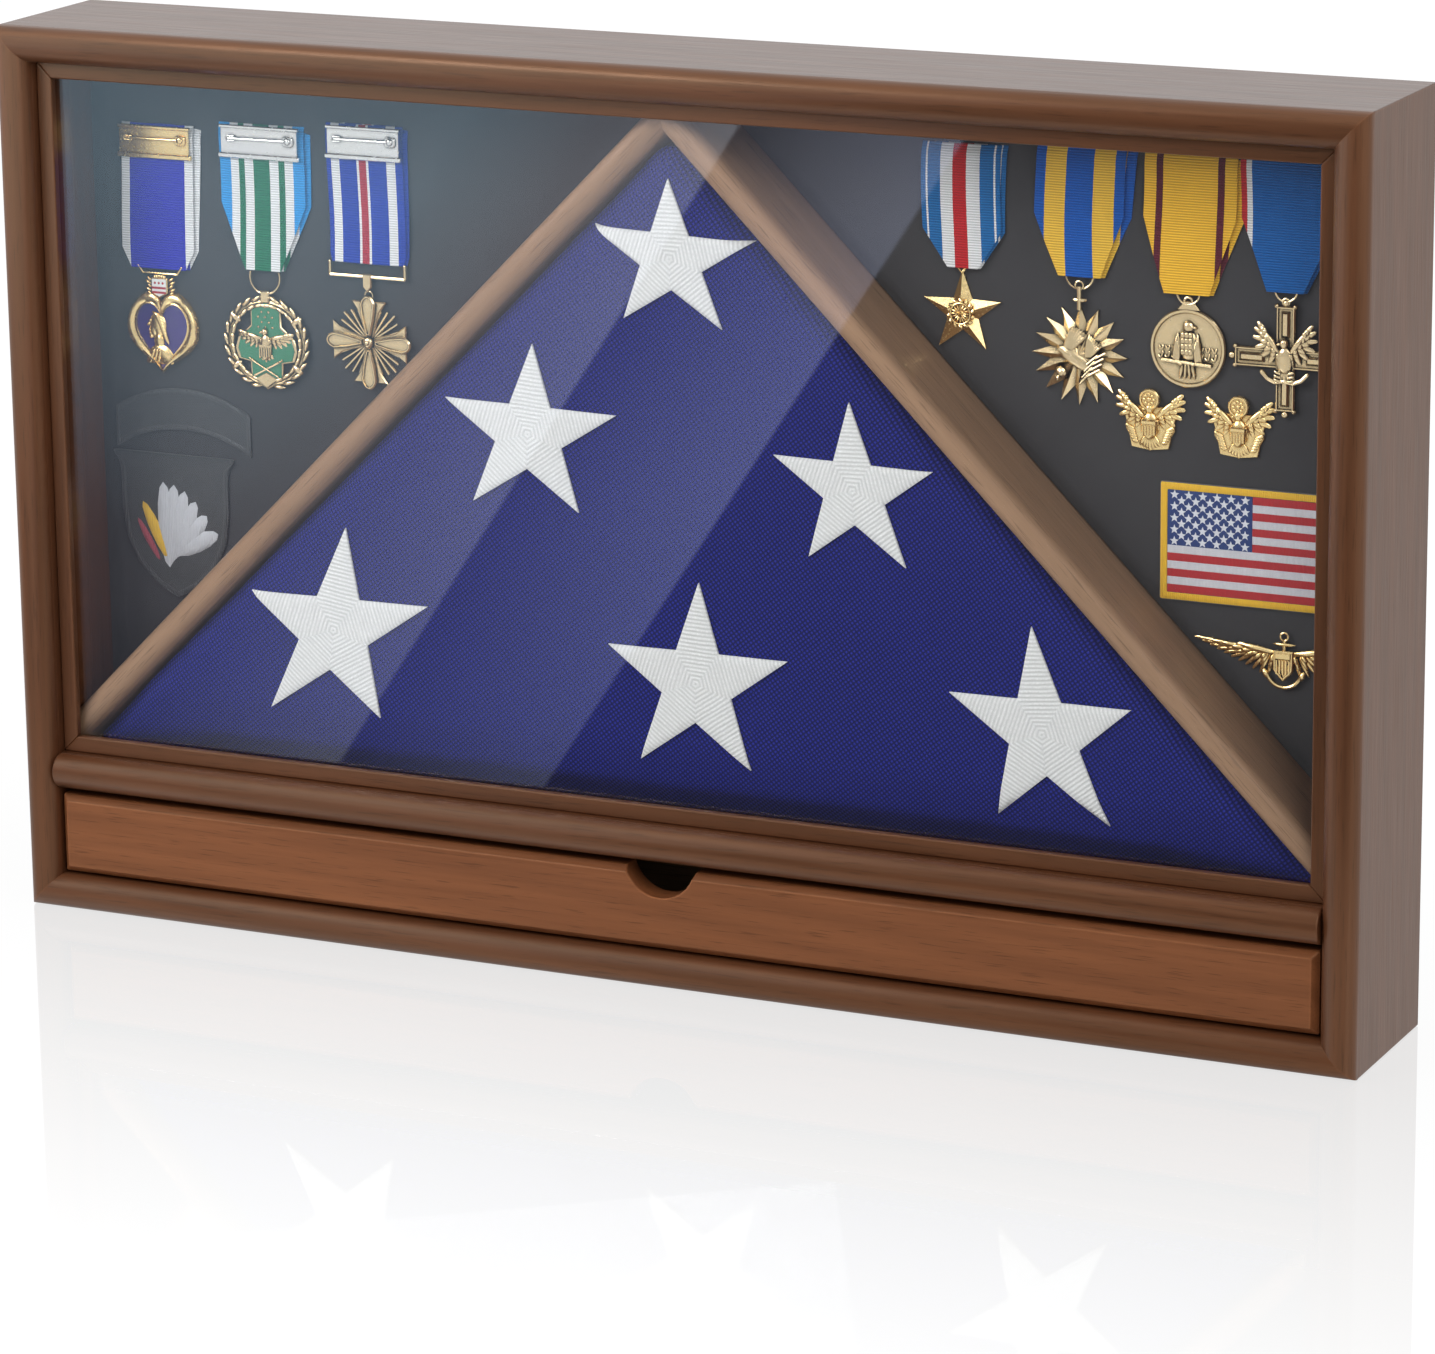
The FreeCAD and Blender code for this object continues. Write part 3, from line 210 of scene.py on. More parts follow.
def raised(tree, height, strength, distance, under=None):
    inputs = {"Height": height, "Strength": strength, "Distance": distance}
    if under is not None:
        inputs["Normal"] = under
    return add(tree, "ShaderNodeBump", inputs).outputs[0]


def effect(name, inputs, outputs):
    """A new shader node group with its named sockets, and its two end nodes."""
    tree = bpy.data.node_groups.new(name, "ShaderNodeTree")
    for label, kind, value in inputs:
        socket = tree.interface.new_socket(label, in_out="INPUT", socket_type="NodeSocket" + kind)
        if value is not None:
            socket.default_value = value
    for label in outputs:
        tree.interface.new_socket(label, in_out="OUTPUT", socket_type="NodeSocketFloat")
    return tree, tree.nodes.new("NodeGroupInput").outputs, tree.nodes.new("NodeGroupOutput").inputs


def used(tree, maker, inputs):
    """Places a shared effect in a material, and builds the effect the first time."""
    name = maker.__name__.replace("_", " ")
    group = bpy.data.node_groups.get(name) or maker(name)
    return add(tree, "ShaderNodeGroup", inputs, node_tree=group).outputs


def wood_grain(name):
    """Grain that runs along X: broad figure, fine fibre, short open pores."""
    tree, given, result = effect(name, [("Coordinates", "Vector", None)], ["Figure", "Fibre", "Pores"])
    place = given["Coordinates"]
    drift = cloudy(tree, scaled(tree, place, (1.6, 22, 22)), 1.0, 3.0, 0.55)
    inputs = {
        "Vector": scaled(tree, place, (0.10, 1, 1)), "Scale": 36.0, "Distortion": 7.0, "Detail": 2.0,
        "Detail Scale": 0.7,
    }
    rings = add(tree, "ShaderNodeTexWave", inputs, bands_direction="DIAGONAL").outputs["Fac"]
    streak = cloudy(tree, scaled(tree, place, (6, 260, 260)), 1.0, 4.0, 0.6)
    figure = sums(tree, "MULTIPLY_ADD", rings, 0.13, sums(tree, "MULTIPLY", drift, 0.36))
    figure = sums(tree, "MULTIPLY_ADD", streak, 0.63, figure)
    tree.links.new(span(tree, figure, 0.32, 0.80), result["Figure"])
    tree.links.new(cloudy(tree, scaled(tree, place, (22, 800, 800)), 1.0, 2.0), result["Fibre"])
    open_pores = cloudy(tree, scaled(tree, place, (60, 1500, 1500)), 1.0, 1.0)
    tree.links.new(span(tree, open_pores, 0.60, 0.70), result["Pores"])
    return tree


def edge_rub(name):
    """Where a rounded edge turns away, and hands have rubbed it."""
    tree, given, result = effect(name, [("Reach", "Float", 0.001)], ["Rub"])
    soft = add(tree, "ShaderNodeBevel", {"Radius": given["Reach"]}, samples=6).outputs[0]
    sharp = add(tree, "ShaderNodeNewGeometry").outputs["Normal"]
    dot = add(tree, "ShaderNodeVectorMath", {0: soft, 1: sharp}, operation="DOT_PRODUCT").outputs["Value"]
    tree.links.new(span(tree, dot, 0.995, 0.90), result["Rub"])
    return tree


def felt_nap(name):
    """Short matted fibres, and soft patches where the nap lies another way."""
    tree, given, result = effect(name, [("Coordinates", "Vector", None)], ["Nap", "Patches"])
    tree.links.new(cloudy(tree, given["Coordinates"], 1400.0, 4.0, 0.7), result["Nap"])
    tree.links.new(cloudy(tree, given["Coordinates"], 45.0, 3.0, 0.6), result["Patches"])
    return tree


def plain_weave(name):
    """Two sets of threads that pass over and under each other, across X and Z."""
    sockets = [("Coordinates", "Vector", None), ("Scale", "Float", 180.0)]
    tree, given, result = effect(name, sockets, ["Height", "Crossing Highlight"])
    waves = []
    for axis in ("X", "Z"):
        inputs = {
            "Vector": given["Coordinates"], "Scale": given["Scale"], "Distortion": 0.6, "Detail": 1.0,
            "Detail Scale": 0.4,
        }
        waves.append(add(tree, "ShaderNodeTexWave", inputs, bands_direction=axis).outputs["Fac"])
    # Where both threads rise together: the mask of a painted highlight on the thread crowns.
    crossing_highlight = sums(tree, "MULTIPLY", waves[0], waves[1])
    tree.links.new(sums(tree, "MAXIMUM", waves[0], sums(tree, "MULTIPLY", waves[1], 0.9)), result["Height"])
    tree.links.new(crossing_highlight, result["Crossing Highlight"])
    return tree


def satin_stitch(name):
    """Rows of thread side by side along X, each a little out of line."""
    sockets = [("Coordinates", "Vector", None), ("Scale", "Float", 350.0)]
    tree, given, result = effect(name, sockets, ["Height", "Fray"])
    inputs = {
        "Vector": given["Coordinates"], "Scale": given["Scale"], "Distortion": 1.2, "Detail": 2.0,
        "Detail Scale": 0.5,
    }
    tree.links.new(
        add(tree, "ShaderNodeTexWave", inputs, bands_direction="X").outputs["Fac"], result["Height"]
    )
    tree.links.new(
        cloudy(tree, scaled(tree, given["Coordinates"], (900, 900, 220)), 1.0, 2.0, 0.6), result["Fray"]
    )
    return tree


def struck_metal(name):
    """How deep a point lies in the relief, and the fine mottle of handled metal."""
    sockets = [("Coordinates", "Vector", None), ("Reach", "Float", 0.0015)]
    tree, given, result = effect(name, sockets, ["Recess", "Mottle"])
    shade = add(tree, "ShaderNodeAmbientOcclusion", {"Distance": given["Reach"]}, samples=6).outputs["AO"]
    tree.links.new(span(tree, shade, 0.96, 0.50), result["Recess"])
    tree.links.new(cloudy(tree, given["Coordinates"], 700.0, 4.0, 0.65), result["Mottle"])
    return tree


def finish(name):
    """A new material: the material, its tree, its shader and its Object coordinates."""
    material = bpy.data.materials.new(name)
    material.use_nodes = True
    tree = material.node_tree
    place = tree.nodes.new("ShaderNodeTexCoord").outputs["Object"]
    return material, tree, tree.nodes["Principled BSDF"], place


def own_map(tree):
    return tree.nodes.new("ShaderNodeUVMap").outputs[0]


def set_up(tree, shader, inputs):
    for name, value in inputs.items():
        if isinstance(value, bpy.types.NodeSocket):
            tree.links.new(value, shader.inputs[name])
        else:
            shader.inputs[name].default_value = rgba(value) if isinstance(value, (tuple, Vector)) else value


def stained_wood(name, dark, light, turn=(0, 0, 0), shift=(0, 0, 0), worn=None, coat=0.08, polish=1.0):
    """Open-grained wood with a satin varnish; turn lays the grain along the piece."""
    material, tree, shader, place = finish(name)
    along = scaled(tree, place, (1, 1, 1), turn, shift)
    grain = used(tree, wood_grain, {"Coordinates": along})
    shade = mixed(tree, grain["Figure"], dark, light)
    shade = mixed(tree, sums(tree, "MULTIPLY", grain["Fibre"], 0.55), shade, dark, "MULTIPLY")
    shade = mixed(tree, sums(tree, "MULTIPLY", grain["Fibre"], 0.35), shade, light, "SCREEN")
    shade = mixed(tree, sums(tree, "MULTIPLY", grain["Pores"], 0.45), shade, tuple(0.3 * c for c in dark))
    if worn:
        rub = used(tree, edge_rub, {"Reach": 0.0012})["Rub"]
        shade = mixed(tree, sums(tree, "MULTIPLY", rub, 0.75), shade, worn)
    uneven = sums(tree, "MULTIPLY_ADD", grain["Pores"], -0.6, grain["Fibre"])
    inputs = {
        "Base Color": shade,
        "Roughness": span(tree, grain["Fibre"], 0.2, 0.8, 0.30, 0.44),
        "Specular IOR Level": polish,
        "Specular Tint": (1.0, 0.57, 0.33),
        "Coat Weight": coat,
        "Coat Roughness": 0.20,
        "Normal": raised(tree, uneven, 0.25, 0.0002),
    }
    set_up(tree, shader, inputs)
    return material


def metal(name, bright, dark, rough=0.24, reach=0.0016):
    """Struck or plated metal, darker down in its relief."""
    material, tree, shader, place = finish(name)
    age = used(tree, struck_metal, {"Coordinates": place, "Reach": reach})
    shade = mixed(
        tree, sums(tree, "MULTIPLY", age["Mottle"], 0.35), bright, tuple(0.72 * c for c in bright)
    )
    shade = mixed(tree, age["Recess"], shade, dark)
    inputs = {
        "Base Color": shade,
        "Metallic": 1.0,
        "Roughness": span(tree, age["Mottle"], 0.25, 0.75, rough - 0.07, rough + 0.10),
        "Normal": raised(tree, age["Mottle"], 0.10, 0.0002),
    }
    set_up(tree, shader, inputs)
    return material


def enamel(name, shade):
    """Glassy enamel with faint clouding."""
    material, tree, shader, place = finish(name)
    cloud = cloudy(tree, place, 260.0, 3.0)
    inputs = {
        "Base Color": mixed(tree, cloud, tuple(0.8 * c for c in shade), shade),
        "Roughness": span(tree, cloud, 0.2, 0.8, 0.10, 0.22),
        "Coat Weight": 0.6,
        "Coat Roughness": 0.05,
    }
    set_up(tree, shader, inputs)
    return material


def embroidery(name, shade, pitch, turn=(0, 0, 0), on_map=False, depth=0.35):
    """Satin-stitched thread in one colour, with painted shade in the grooves between the stitches, as strong
    as the given depth.
    """
    material, tree, shader, place = finish(name)
    start = own_map(tree) if on_map else place
    stitch = used(
        tree, satin_stitch,
        {"Coordinates": scaled(tree, start, (1, 1, 1), turn), "Scale": WAVE_SCALE / pitch},
    )
    dim = tuple((0.88 - 0.3 * depth) * c for c in shade)
    tone = mixed(tree, stitch["Fray"], dim, shade)
    # Painted shade: the thread darkens towards dim in the grooves between the stitches.
    tone = mixed(
        tree, sums(tree, "MULTIPLY", sums(tree, "SUBTRACT", 1.0, stitch["Height"]), depth), tone, dim
    )
    inputs = {
        "Base Color": tone,
        "Roughness": span(tree, stitch["Fray"], 0.2, 0.8, 0.55, 0.75),
        "Normal": raised(tree, stitch["Height"], 0.5, 0.0004),
        "Sheen Weight": 0.15,
    }
    set_up(tree, shader, inputs)
    return material


def felted(name, shade):
    """Matted wool felt."""
    material, tree, shader, place = finish(name)
    nap = used(tree, felt_nap, {"Coordinates": place})
    tone = mixed(tree, nap["Patches"], tuple(0.80 * c for c in shade), tuple(1.15 * c for c in shade))
    tone = mixed(tree, sums(tree, "MULTIPLY", nap["Nap"], 0.4), tone, tuple(1.4 * c for c in shade))
    inputs = {
        "Base Color": tone,
        "Roughness": span(tree, nap["Nap"], 0.2, 0.8, 0.85, 1.0),
        "Specular IOR Level": 0.2,
        "Sheen Weight": 0.08,
        "Normal": raised(tree, nap["Nap"], 0.12, 0.0003),
    }
    set_up(tree, shader, inputs)
    return material


def taken_in(whole, shape):
    """Adds one shape to another and frees it."""
    layer = bpy.data.meshes.new("layer")
    shape.to_mesh(layer)
    shape.free()
    whole.from_mesh(layer)
    bpy.data.meshes.remove(layer)


def piece(name, parts, nodes=(), body="case", smooth=40):
    """Makes one object of (shape, material) pairs, rides it on its body and hides the nodes it stands for."""
    whole = bmesh.new()
    mesh = bpy.data.meshes.new(name)
    for index, (shape, material) in enumerate(parts):
        bmesh.ops.remove_doubles(shape, verts=shape.verts[:], dist=0.000002)
        bmesh.ops.recalc_face_normals(shape, faces=shape.faces[:])
        for face in shape.faces:
            face.material_index = index
            face.smooth = True
        taken_in(whole, shape)
        mesh.materials.append(material)
    whole.to_mesh(mesh)
    whole.free()
    mesh.set_sharp_from_angle(angle=math.radians(smooth))
    made = bpy.data.objects.new(name, mesh)
    bpy.context.scene.collection.objects.link(made)
    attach(made, body)
    if nodes:
        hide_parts(*nodes)
    return made


def settled(shape, x, z, y=None):
    """Moves a shape that was built round its own middle to its place on the felt."""
    bmesh.ops.translate(shape, verts=shape.verts[:], vec=(x, FELT_FACE if y is None else y, z))
    return shape


def all_settled(parts, x, z, y=None):
    """Settles the shapes of (shape, material) pairs and hands the pairs on."""
    for shape, _ in parts:
        settled(shape, x, z, y)
    return parts


def verts_of(geometry):
    return [item for item in geometry if isinstance(item, bmesh.types.BMVert)]


def faces_of(geometry):
    return [item for item in geometry if isinstance(item, bmesh.types.BMFace)]


def slab(shape, outline, low, high, chamfer=0.0):
    """Adds a flat plate with an (x, z) outline, low to high in front of the felt, front edge chamfered."""
    area = sum(a[0] * b[1] - b[0] * a[1] for a, b in zip(outline, outline[1:] + outline[:1]))
    points = outline if area > 0 else outline[::-1]
    face = shape.faces.new([shape.verts.new((x, -low, z)) for x, z in points])
    grown = bmesh.ops.extrude_face_region(shape, geom=[face])["geom"]
    bmesh.ops.translate(shape, verts=verts_of(grown), vec=(0, low - high + chamfer, 0))
    front = faces_of(grown)[0]
    front.normal_update()
    if chamfer:
        bmesh.ops.inset_region(shape, faces=[front], thickness=chamfer, depth=chamfer, use_even_offset=True)
    return front


def sunk(shape, face, rim, slope, deep):
    """Sinks the middle of a face inside a flat rim."""
    bmesh.ops.inset_region(shape, faces=[face], thickness=rim, depth=0.0)
    bmesh.ops.inset_region(shape, faces=[face], thickness=slope, depth=-deep)


def quarter_turned(outline, quarter):
    """An (x, z) outline turned by a number of right angles."""
    turn = Matrix.Rotation(quarter * math.pi / 2, 2)
    return [tuple(turn @ Vector(point)) for point in outline]


def dome(shape, x, z, wide, tall, deep, low=0.0, turn=0.0, around=10):
    """Adds a rounded boss, half sunk at low, turned in the plane of the felt."""
    made = bmesh.ops.create_uvsphere(
        shape, u_segments=around, v_segments=max(6, around // 2 + 1), radius=1.0
    )["verts"]
    place = Matrix.Translation((x, -low, z)) @ Matrix.Rotation(-turn, 4, "Y")
    bmesh.ops.transform(shape, matrix=place @ Matrix.Diagonal((wide, deep, tall, 1)), verts=made)


def leaf(shape, start, end, wide, deep, low=0.0, around=8):
    """Adds a long rounded leaf or feather from start to end, both (x, z)."""
    across = Vector((end[0] - start[0], end[1] - start[1]))
    middle = ((start[0] + end[0]) / 2, (start[1] + end[1]) / 2)
    dome(
        shape, middle[0], middle[1], across.length / 2, wide / 2, deep, low, math.atan2(across.y, across.x),
        around,
    )


def rod(shape, start, end, thick, around=8):
    """Adds a round bar between two points (x, y, z)."""
    start = Vector(start)
    run = Vector(end) - start
    made = bmesh.ops.create_cone(
        shape, cap_ends=True, segments=around, radius1=thick / 2, radius2=thick / 2, depth=run.length
    )["verts"]
    place = Matrix.Translation(start + run / 2) @ run.to_track_quat("Z", "Y").to_matrix().to_4x4()
    bmesh.ops.transform(shape, matrix=place, verts=made)


def wire(shape, points, thick, out):
    """Adds a bent wire through (x, z) points, out in front of the felt."""
    for start, end in zip(points, points[1:]):
        rod(shape, (start[0], -out, start[1]), (end[0], -out, end[1]), thick)
    for x, z in points:
        dome(shape, x, z, thick / 2, thick / 2, thick / 2, out, around=8)


def ring(shape, x, z, radius, thick, out, start=0.0, turn=math.tau, steps=32):
    """Adds a round wire ring, or an arc of one, that lies flat in front of the felt."""
    made = bmesh.ops.create_circle(shape, segments=8, radius=thick / 2)["verts"]
    place = Matrix.Rotation(-start, 4, "Y") @ Matrix.Translation((radius, 0, 0))
    flip = Matrix.Rotation(math.pi / 2, 4, "X") @ Matrix.Rotation(math.pi / 2, 4, "X")
    bmesh.ops.transform(shape, matrix=Matrix.Translation((x, -out, z)) @ place @ flip, verts=made)
    edges = list({edge for vert in made for edge in vert.link_edges})
    bmesh.ops.spin(
        shape,
        geom=made + edges,
        cent=(x, -out, z),
        axis=(0, -1, 0),
        angle=turn,
        steps=steps,
        use_merge=turn >= math.tau - 0.001,
    )


def star_points(count, outer, inner, tilt=math.pi / 2):
    """The (x, z) outline of a star with its first tip at tilt."""
    turn = math.pi / count
    radii = (outer, inner)
    return [
        (radii[i % 2] * math.cos(tilt + i * turn), radii[i % 2] * math.sin(tilt + i * turn))
        for i in range(2 * count)
    ]


def ridged_star(shape, x, z, count, outer, inner, low, high, edge, valley=None, tilt=math.pi / 2):
    """Adds a star with ridged arms: edge, valley and high are the heights of tips, waists and middle."""
    rim = [shape.verts.new((x + px, -edge, z + pz)) for px, pz in star_points(count, outer, inner, tilt)]
    for vert in rim[1::2] if valley is not None else ():
        vert.co.y = -valley
    front = shape.faces.new(rim)
    bmesh.ops.poke(shape, faces=[front])
    peak = [
        vert
        for vert in {v for corner in rim for e in corner.link_edges for v in e.verts}
        if vert not in rim
    ][0]
    peak.co.y = -high
    faces = list(peak.link_faces)
    grown = bmesh.ops.extrude_edge_only(
        shape, edges=list({e for v in rim for e in v.link_edges if e.is_boundary})
    )["geom"]
    back = verts_of(grown)
    for vert in back:
        vert.co.y = -low
    edges = [
        item
        for item in grown
        if isinstance(item, bmesh.types.BMEdge) and all(v in back for v in item.verts)
    ]
    bmesh.ops.edgeloop_fill(shape, edges=edges)
    return faces


def arc_points(x, z, radius, start, end, steps):
    """Points on an arc from one angle to another, both in degrees."""
    turns = [math.radians(start + (end - start) * i / steps) for i in range(steps + 1)]
    return [(x + radius * math.cos(t), z + radius * math.sin(t)) for t in turns]


def rounded(outline, radius, steps=4):
    """Rounds the corners of an (x, z) outline."""
    result = []
    for before, here, after in zip(outline[-1:] + outline[:-1], outline, outline[1:] + outline[:1]):
        corner = Vector(here)
        one = (Vector(before) - corner).normalized()
        two = (Vector(after) - corner).normalized()
        for i in range(steps + 1):
            t = i / steps
            point = corner + one * radius * (1 - t) ** 2 + two * radius * t**2
            result.append((point.x, point.y))
    return result


def rectangle(x, z, wide, tall):
    return [
        (x - wide / 2, z - tall / 2),
        (x + wide / 2, z - tall / 2),
        (x + wide / 2, z + tall / 2),
        (x - wide / 2, z + tall / 2),
    ]


def heart_points(wide, tall, cleft, x=0.0, z=0.0, count=48):
    """A heart outline; cleft is how deep its top dips, from 0 to 1."""
    result = []
    for i in range(count):
        t = math.tau * i / count
        across = math.sin(t) ** 3
        up = (13 * math.cos(t) - 5 * cleft * math.cos(2 * t) - 2 * math.cos(3 * t) - math.cos(4 * t)) / 29
        result.append((x + wide / 2 * across, z + tall * (up + 0.10)))
    return result


def band(shape, outer, inner, profile):
    """Adds a rounded rim between two outlines: profile lists (share from outer to inner, height)."""

    def spots(share, high):
        return [
            (a[0] + (b[0] - a[0]) * share, -high, a[1] + (b[1] - a[1]) * share)
            for a, b in zip(outer, inner)
        ]

    verts = [shape.verts.new(spot) for spot in spots(*profile[0])]
    edges = [shape.edges.new(pair) for pair in zip(verts, verts[1:] + verts[:1])]
    for share, high in profile[1:] + profile[:1]:
        grown = bmesh.ops.extrude_edge_only(shape, edges=edges)["geom"]
        fresh = set(verts_of(grown))
        edges = [e for e in grown if isinstance(e, bmesh.types.BMEdge) and fresh.issuperset(e.verts)]
        verts = [next(e.other_vert(v) for e in v.link_edges if e.other_vert(v) in fresh) for v in verts]
        for vert, spot in zip(verts, spots(share, high)):
            vert.co = spot


def wing(shape, x, z, side, size, lift, low, deep, feathers=7):
    """Adds a spread wing that grows from its shoulder to one side: lift is the angle of its leading edge."""
    edge = Vector((math.cos(lift), math.sin(lift)))
    for share, count, rise in ((1.0, feathers, 0.0), (0.62, feathers - 1, 0.35), (0.34, feathers - 2, 0.6)):
        for i in range(count):
            t = i / (count - 1)
            root = edge * size * 0.62 * t
            heading = math.radians(-82) * (1 - t) + (lift - math.radians(4)) * t
            reach = size * (0.34 + 0.16 * math.sin(math.pi * t) + 0.06 * t) * share
            tip = root + Vector((math.cos(heading), math.sin(heading))) * reach
            leaf(
                shape,
                (x + side * root.x, z + root.y),
                (x + side * tip.x, z + tip.y),
                size * 0.17,
                deep * 0.5,
                low + deep * rise,
                8,
            )
    crest = edge * size * 0.66
    leaf(shape, (x, z), (x + side * crest.x, z + crest.y), size * 0.18, deep * 0.7, low + deep * 0.6, 8)


def eagle(shape, x, z, size, lift, low, deep, tail=5):
    """Adds an eagle with spread wings, seen from the front, with its head turned to one side."""
    for side in (-1, 1):
        wing(shape, x + side * size * 0.10, z + size * 0.08, side, size * 0.62, lift, low, deep)
    dome(shape, x, z - size * 0.02, size * 0.13, size * 0.22, deep * 1.1, low + deep * 0.4)
    dome(shape, x - size * 0.01, z + size * 0.24, size * 0.075, size * 0.085, deep, low + deep * 0.6)
    leaf(
        shape, (x - size * 0.04, z + size * 0.25), (x - size * 0.15, z + size * 0.215), size * 0.055,
        deep * 0.6, low + deep * 0.7,
    )
    for i in range(tail):
        t = i / (tail - 1) - 0.5
        tip = (x + size * 0.36 * t, z - size * (0.46 - 0.16 * abs(t)))
        leaf(shape, (x + size * 0.05 * t, z - size * 0.16), tip, size * 0.09, deep * 0.5, low + deep * 0.2)


def merged_copy(node):
    """A shape of its own with the form of a node of the frame, its loose faces joined."""
    shape = bmesh.new()
    shape.from_mesh(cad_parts[node].data)
    bmesh.ops.remove_doubles(shape, verts=shape.verts[:], dist=0.00001)
    return shape


def dressed(names, material):
    for name in names:
        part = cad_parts[name]
        part.data.materials.clear()
        part.data.materials.append(material)


def softened(names, width):
    """Sands a small round onto the edges of wooden parts."""
    for name in names:
        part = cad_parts[name]
        weld = part.modifiers.new("joined", "WELD")
        weld.merge_threshold = 0.00001
        bevel = part.modifiers.new("sanded edges", "BEVEL")
        bevel.width = width
        bevel.segments = 3
        bevel.limit_method = "ANGLE"
        bevel.angle_limit = math.radians(40)
        bevel.harden_normals = True


UPRIGHT = (0, math.pi / 2, 0)
LEFT_SLOPE = (0, math.pi / 4, 0)
RIGHT_SLOPE = (0, -math.pi / 4, 0)


class CASE_OT_woodwork(bpy.types.Operator):
    """Finish the boards, beads, slats and drawer in walnut"""

    bl_idname = "flag_case.woodwork"
    bl_label = "Finish woodwork"

    def execute(self, context):
        wood = context.scene.case_wood
        dark = tuple(wood.walnut_dark)
        light = tuple(wood.walnut_light)
        flat = ("top_board", "bottom_board", "shelf", "glass_stops")
        beads = ("top_bead", "bottom_bead", "middle_bead", "top_lip", "bottom_lip")
        sides = ("left_side_board", "right_side_board", "left_bead", "right_bead", "left_lip", "right_lip")
        dressed(
            flat, stained_wood("walnut_boards", dark, light, shift=(0.3, 0.1, 0), coat=0.35, polish=0.4)
        )
        dressed(beads, stained_wood("walnut_beads", dark, light, shift=(0.9, 0.02, 0.03), worn=light))
        dressed(sides, stained_wood("walnut_sides", dark, light, UPRIGHT, (0.1, 0.2, 0.4), worn=light))
        slat = tuple(wood.slat)
        shade = tuple(0.72 * c for c in slat)
        dressed(("left_slat",), stained_wood("walnut_left_slat", shade, slat, LEFT_SLOPE, polish=0.15))
        dressed(("right_slat",), stained_wood("walnut_right_slat", shade, slat, RIGHT_SLOPE, polish=0.15))
        front = stained_wood(
            "drawer_walnut", tuple(wood.drawer_dark), tuple(wood.drawer_light), shift=(2.2, 0, 0),
            worn=tuple(wood.drawer_worn), polish=0.6,
        )
        dressed(("drawer_front",), front)
        box = tuple(wood.box_wood)
        inside = stained_wood(
            "drawer_box_wood", tuple(0.6 * c for c in box), box, shift=(5, 1, 0), coat=0.1
        )
        dressed(("drawer_left_side", "drawer_right_side", "drawer_back", "drawer_bottom"), inside)
        back = tuple(wood.back_board)
        panel = stained_wood(
            "back_board_ply", tuple(0.6 * c for c in back), back, shift=(3, 2, 1), coat=0.2
        )
        dressed(("door_panel", "drawer_back_panel"), panel)
        dressed(
            ("left_pin_board", "right_pin_board"),
            stained_wood("pin_board_ply", tuple(0.8 * c for c in box), box, coat=0.0),
        )
        softened(
            flat[:3] + beads + sides + ("left_slat", "right_slat", "drawer_front", "door_panel"),
            wood.edge_round,
        )
        return {"FINISHED"}


class CASE_OT_glass(bpy.types.Operator):
    """Make the pane of clear glass"""

    bl_idname = "flag_case.glass"
    bl_label = "Make glass"

    def execute(self, context):
        material, tree, shader, place = finish("window_glass")
        smear = cloudy(tree, scaled(tree, place, (14, 14, 40)), 1.0, 4.0, 0.6)
        inputs = {
            "Base Color": (1.0, 1.0, 1.0),
            "Roughness": span(tree, smear, 0.4, 0.9, 0.0, 0.005),
            "Transmission Weight": 1.0,
            "IOR": 1.5,
        }
        set_up(tree, shader, inputs)
        path = tree.nodes.new("ShaderNodeLightPath").outputs
        passing = sums(tree, "MAXIMUM", path["Is Shadow Ray"], path["Is Diffuse Ray"])
        clear = add(tree, "ShaderNodeBsdfTransparent", {"Color": (0.96, 0.97, 0.965, 1)}).outputs[0]
        both = add(tree, "ShaderNodeMixShader", {0: passing, 1: shader.outputs[0], 2: clear}).outputs[0]
        tree.links.new(both, tree.nodes["Material Output"].inputs["Surface"])
        dressed(("glass_pane",), material)
        return {"FINISHED"}


class CASE_OT_felts(bpy.types.Operator):
    """Lay the felt behind the medals and in the drawer"""

    bl_idname = "flag_case.felts"
    bl_label = "Lay felt"

    def execute(self, context):
        felt = felted("charcoal_felt", tuple(context.scene.case_cloth.felt_grey))
        for node, body in (("left_felt", "case"), ("right_felt", "case"), ("drawer_liner", "drawer")):
            shape = merged_copy(node)
            bmesh.ops.dissolve_limit(shape, angle_limit=0.01, verts=shape.verts[:], edges=shape.edges[:])
            bmesh.ops.triangulate(shape, faces=shape.faces[:])
            for _ in range(5):
                long = [edge for edge in shape.edges if edge.calc_length() > 0.012]
                bmesh.ops.subdivide_edges(shape, edges=long, cuts=1, use_grid_fill=True)
            low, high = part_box(node)
            thin = 1 if body == "case" else 2
            for vert in shape.verts:
                if (vert.co[thin] - low[thin] < 0.0001) == (thin == 1):
                    vert.co[thin] += (0.0001 if thin == 1 else -0.0001) * noise.noise(vert.co * 60)
            laid = piece(node + "_cloth", [(shape, felt)], (node,), body)
        return {"FINISHED"}


# Middle, half width and half height, turn in degrees and lean of each star.
STARS = (
    ((0.0030, 0.3216), (0.0394, 0.0345), -2.0, -0.058),
    ((-0.0664, 0.2395), (0.0436, 0.0401), -1.0, 0.046),
    ((0.0875, 0.2279), (0.0383, 0.0381), -1.2, -0.072),
    ((-0.1653, 0.1418), (0.0471, 0.0474), 0.7, 0.162),
    ((0.0128, 0.1356), (0.0449, 0.0452), 0.3, 0.040),
    ((0.1742, 0.1303), (0.0432, 0.0465), 0.3, -0.109),
)


def baked(made):
    """The shape that an object has with its modifiers."""
    graph = bpy.context.evaluated_depsgraph_get()
    return bpy.data.meshes.new_from_object(made.evaluated_get(graph), depsgraph=graph)


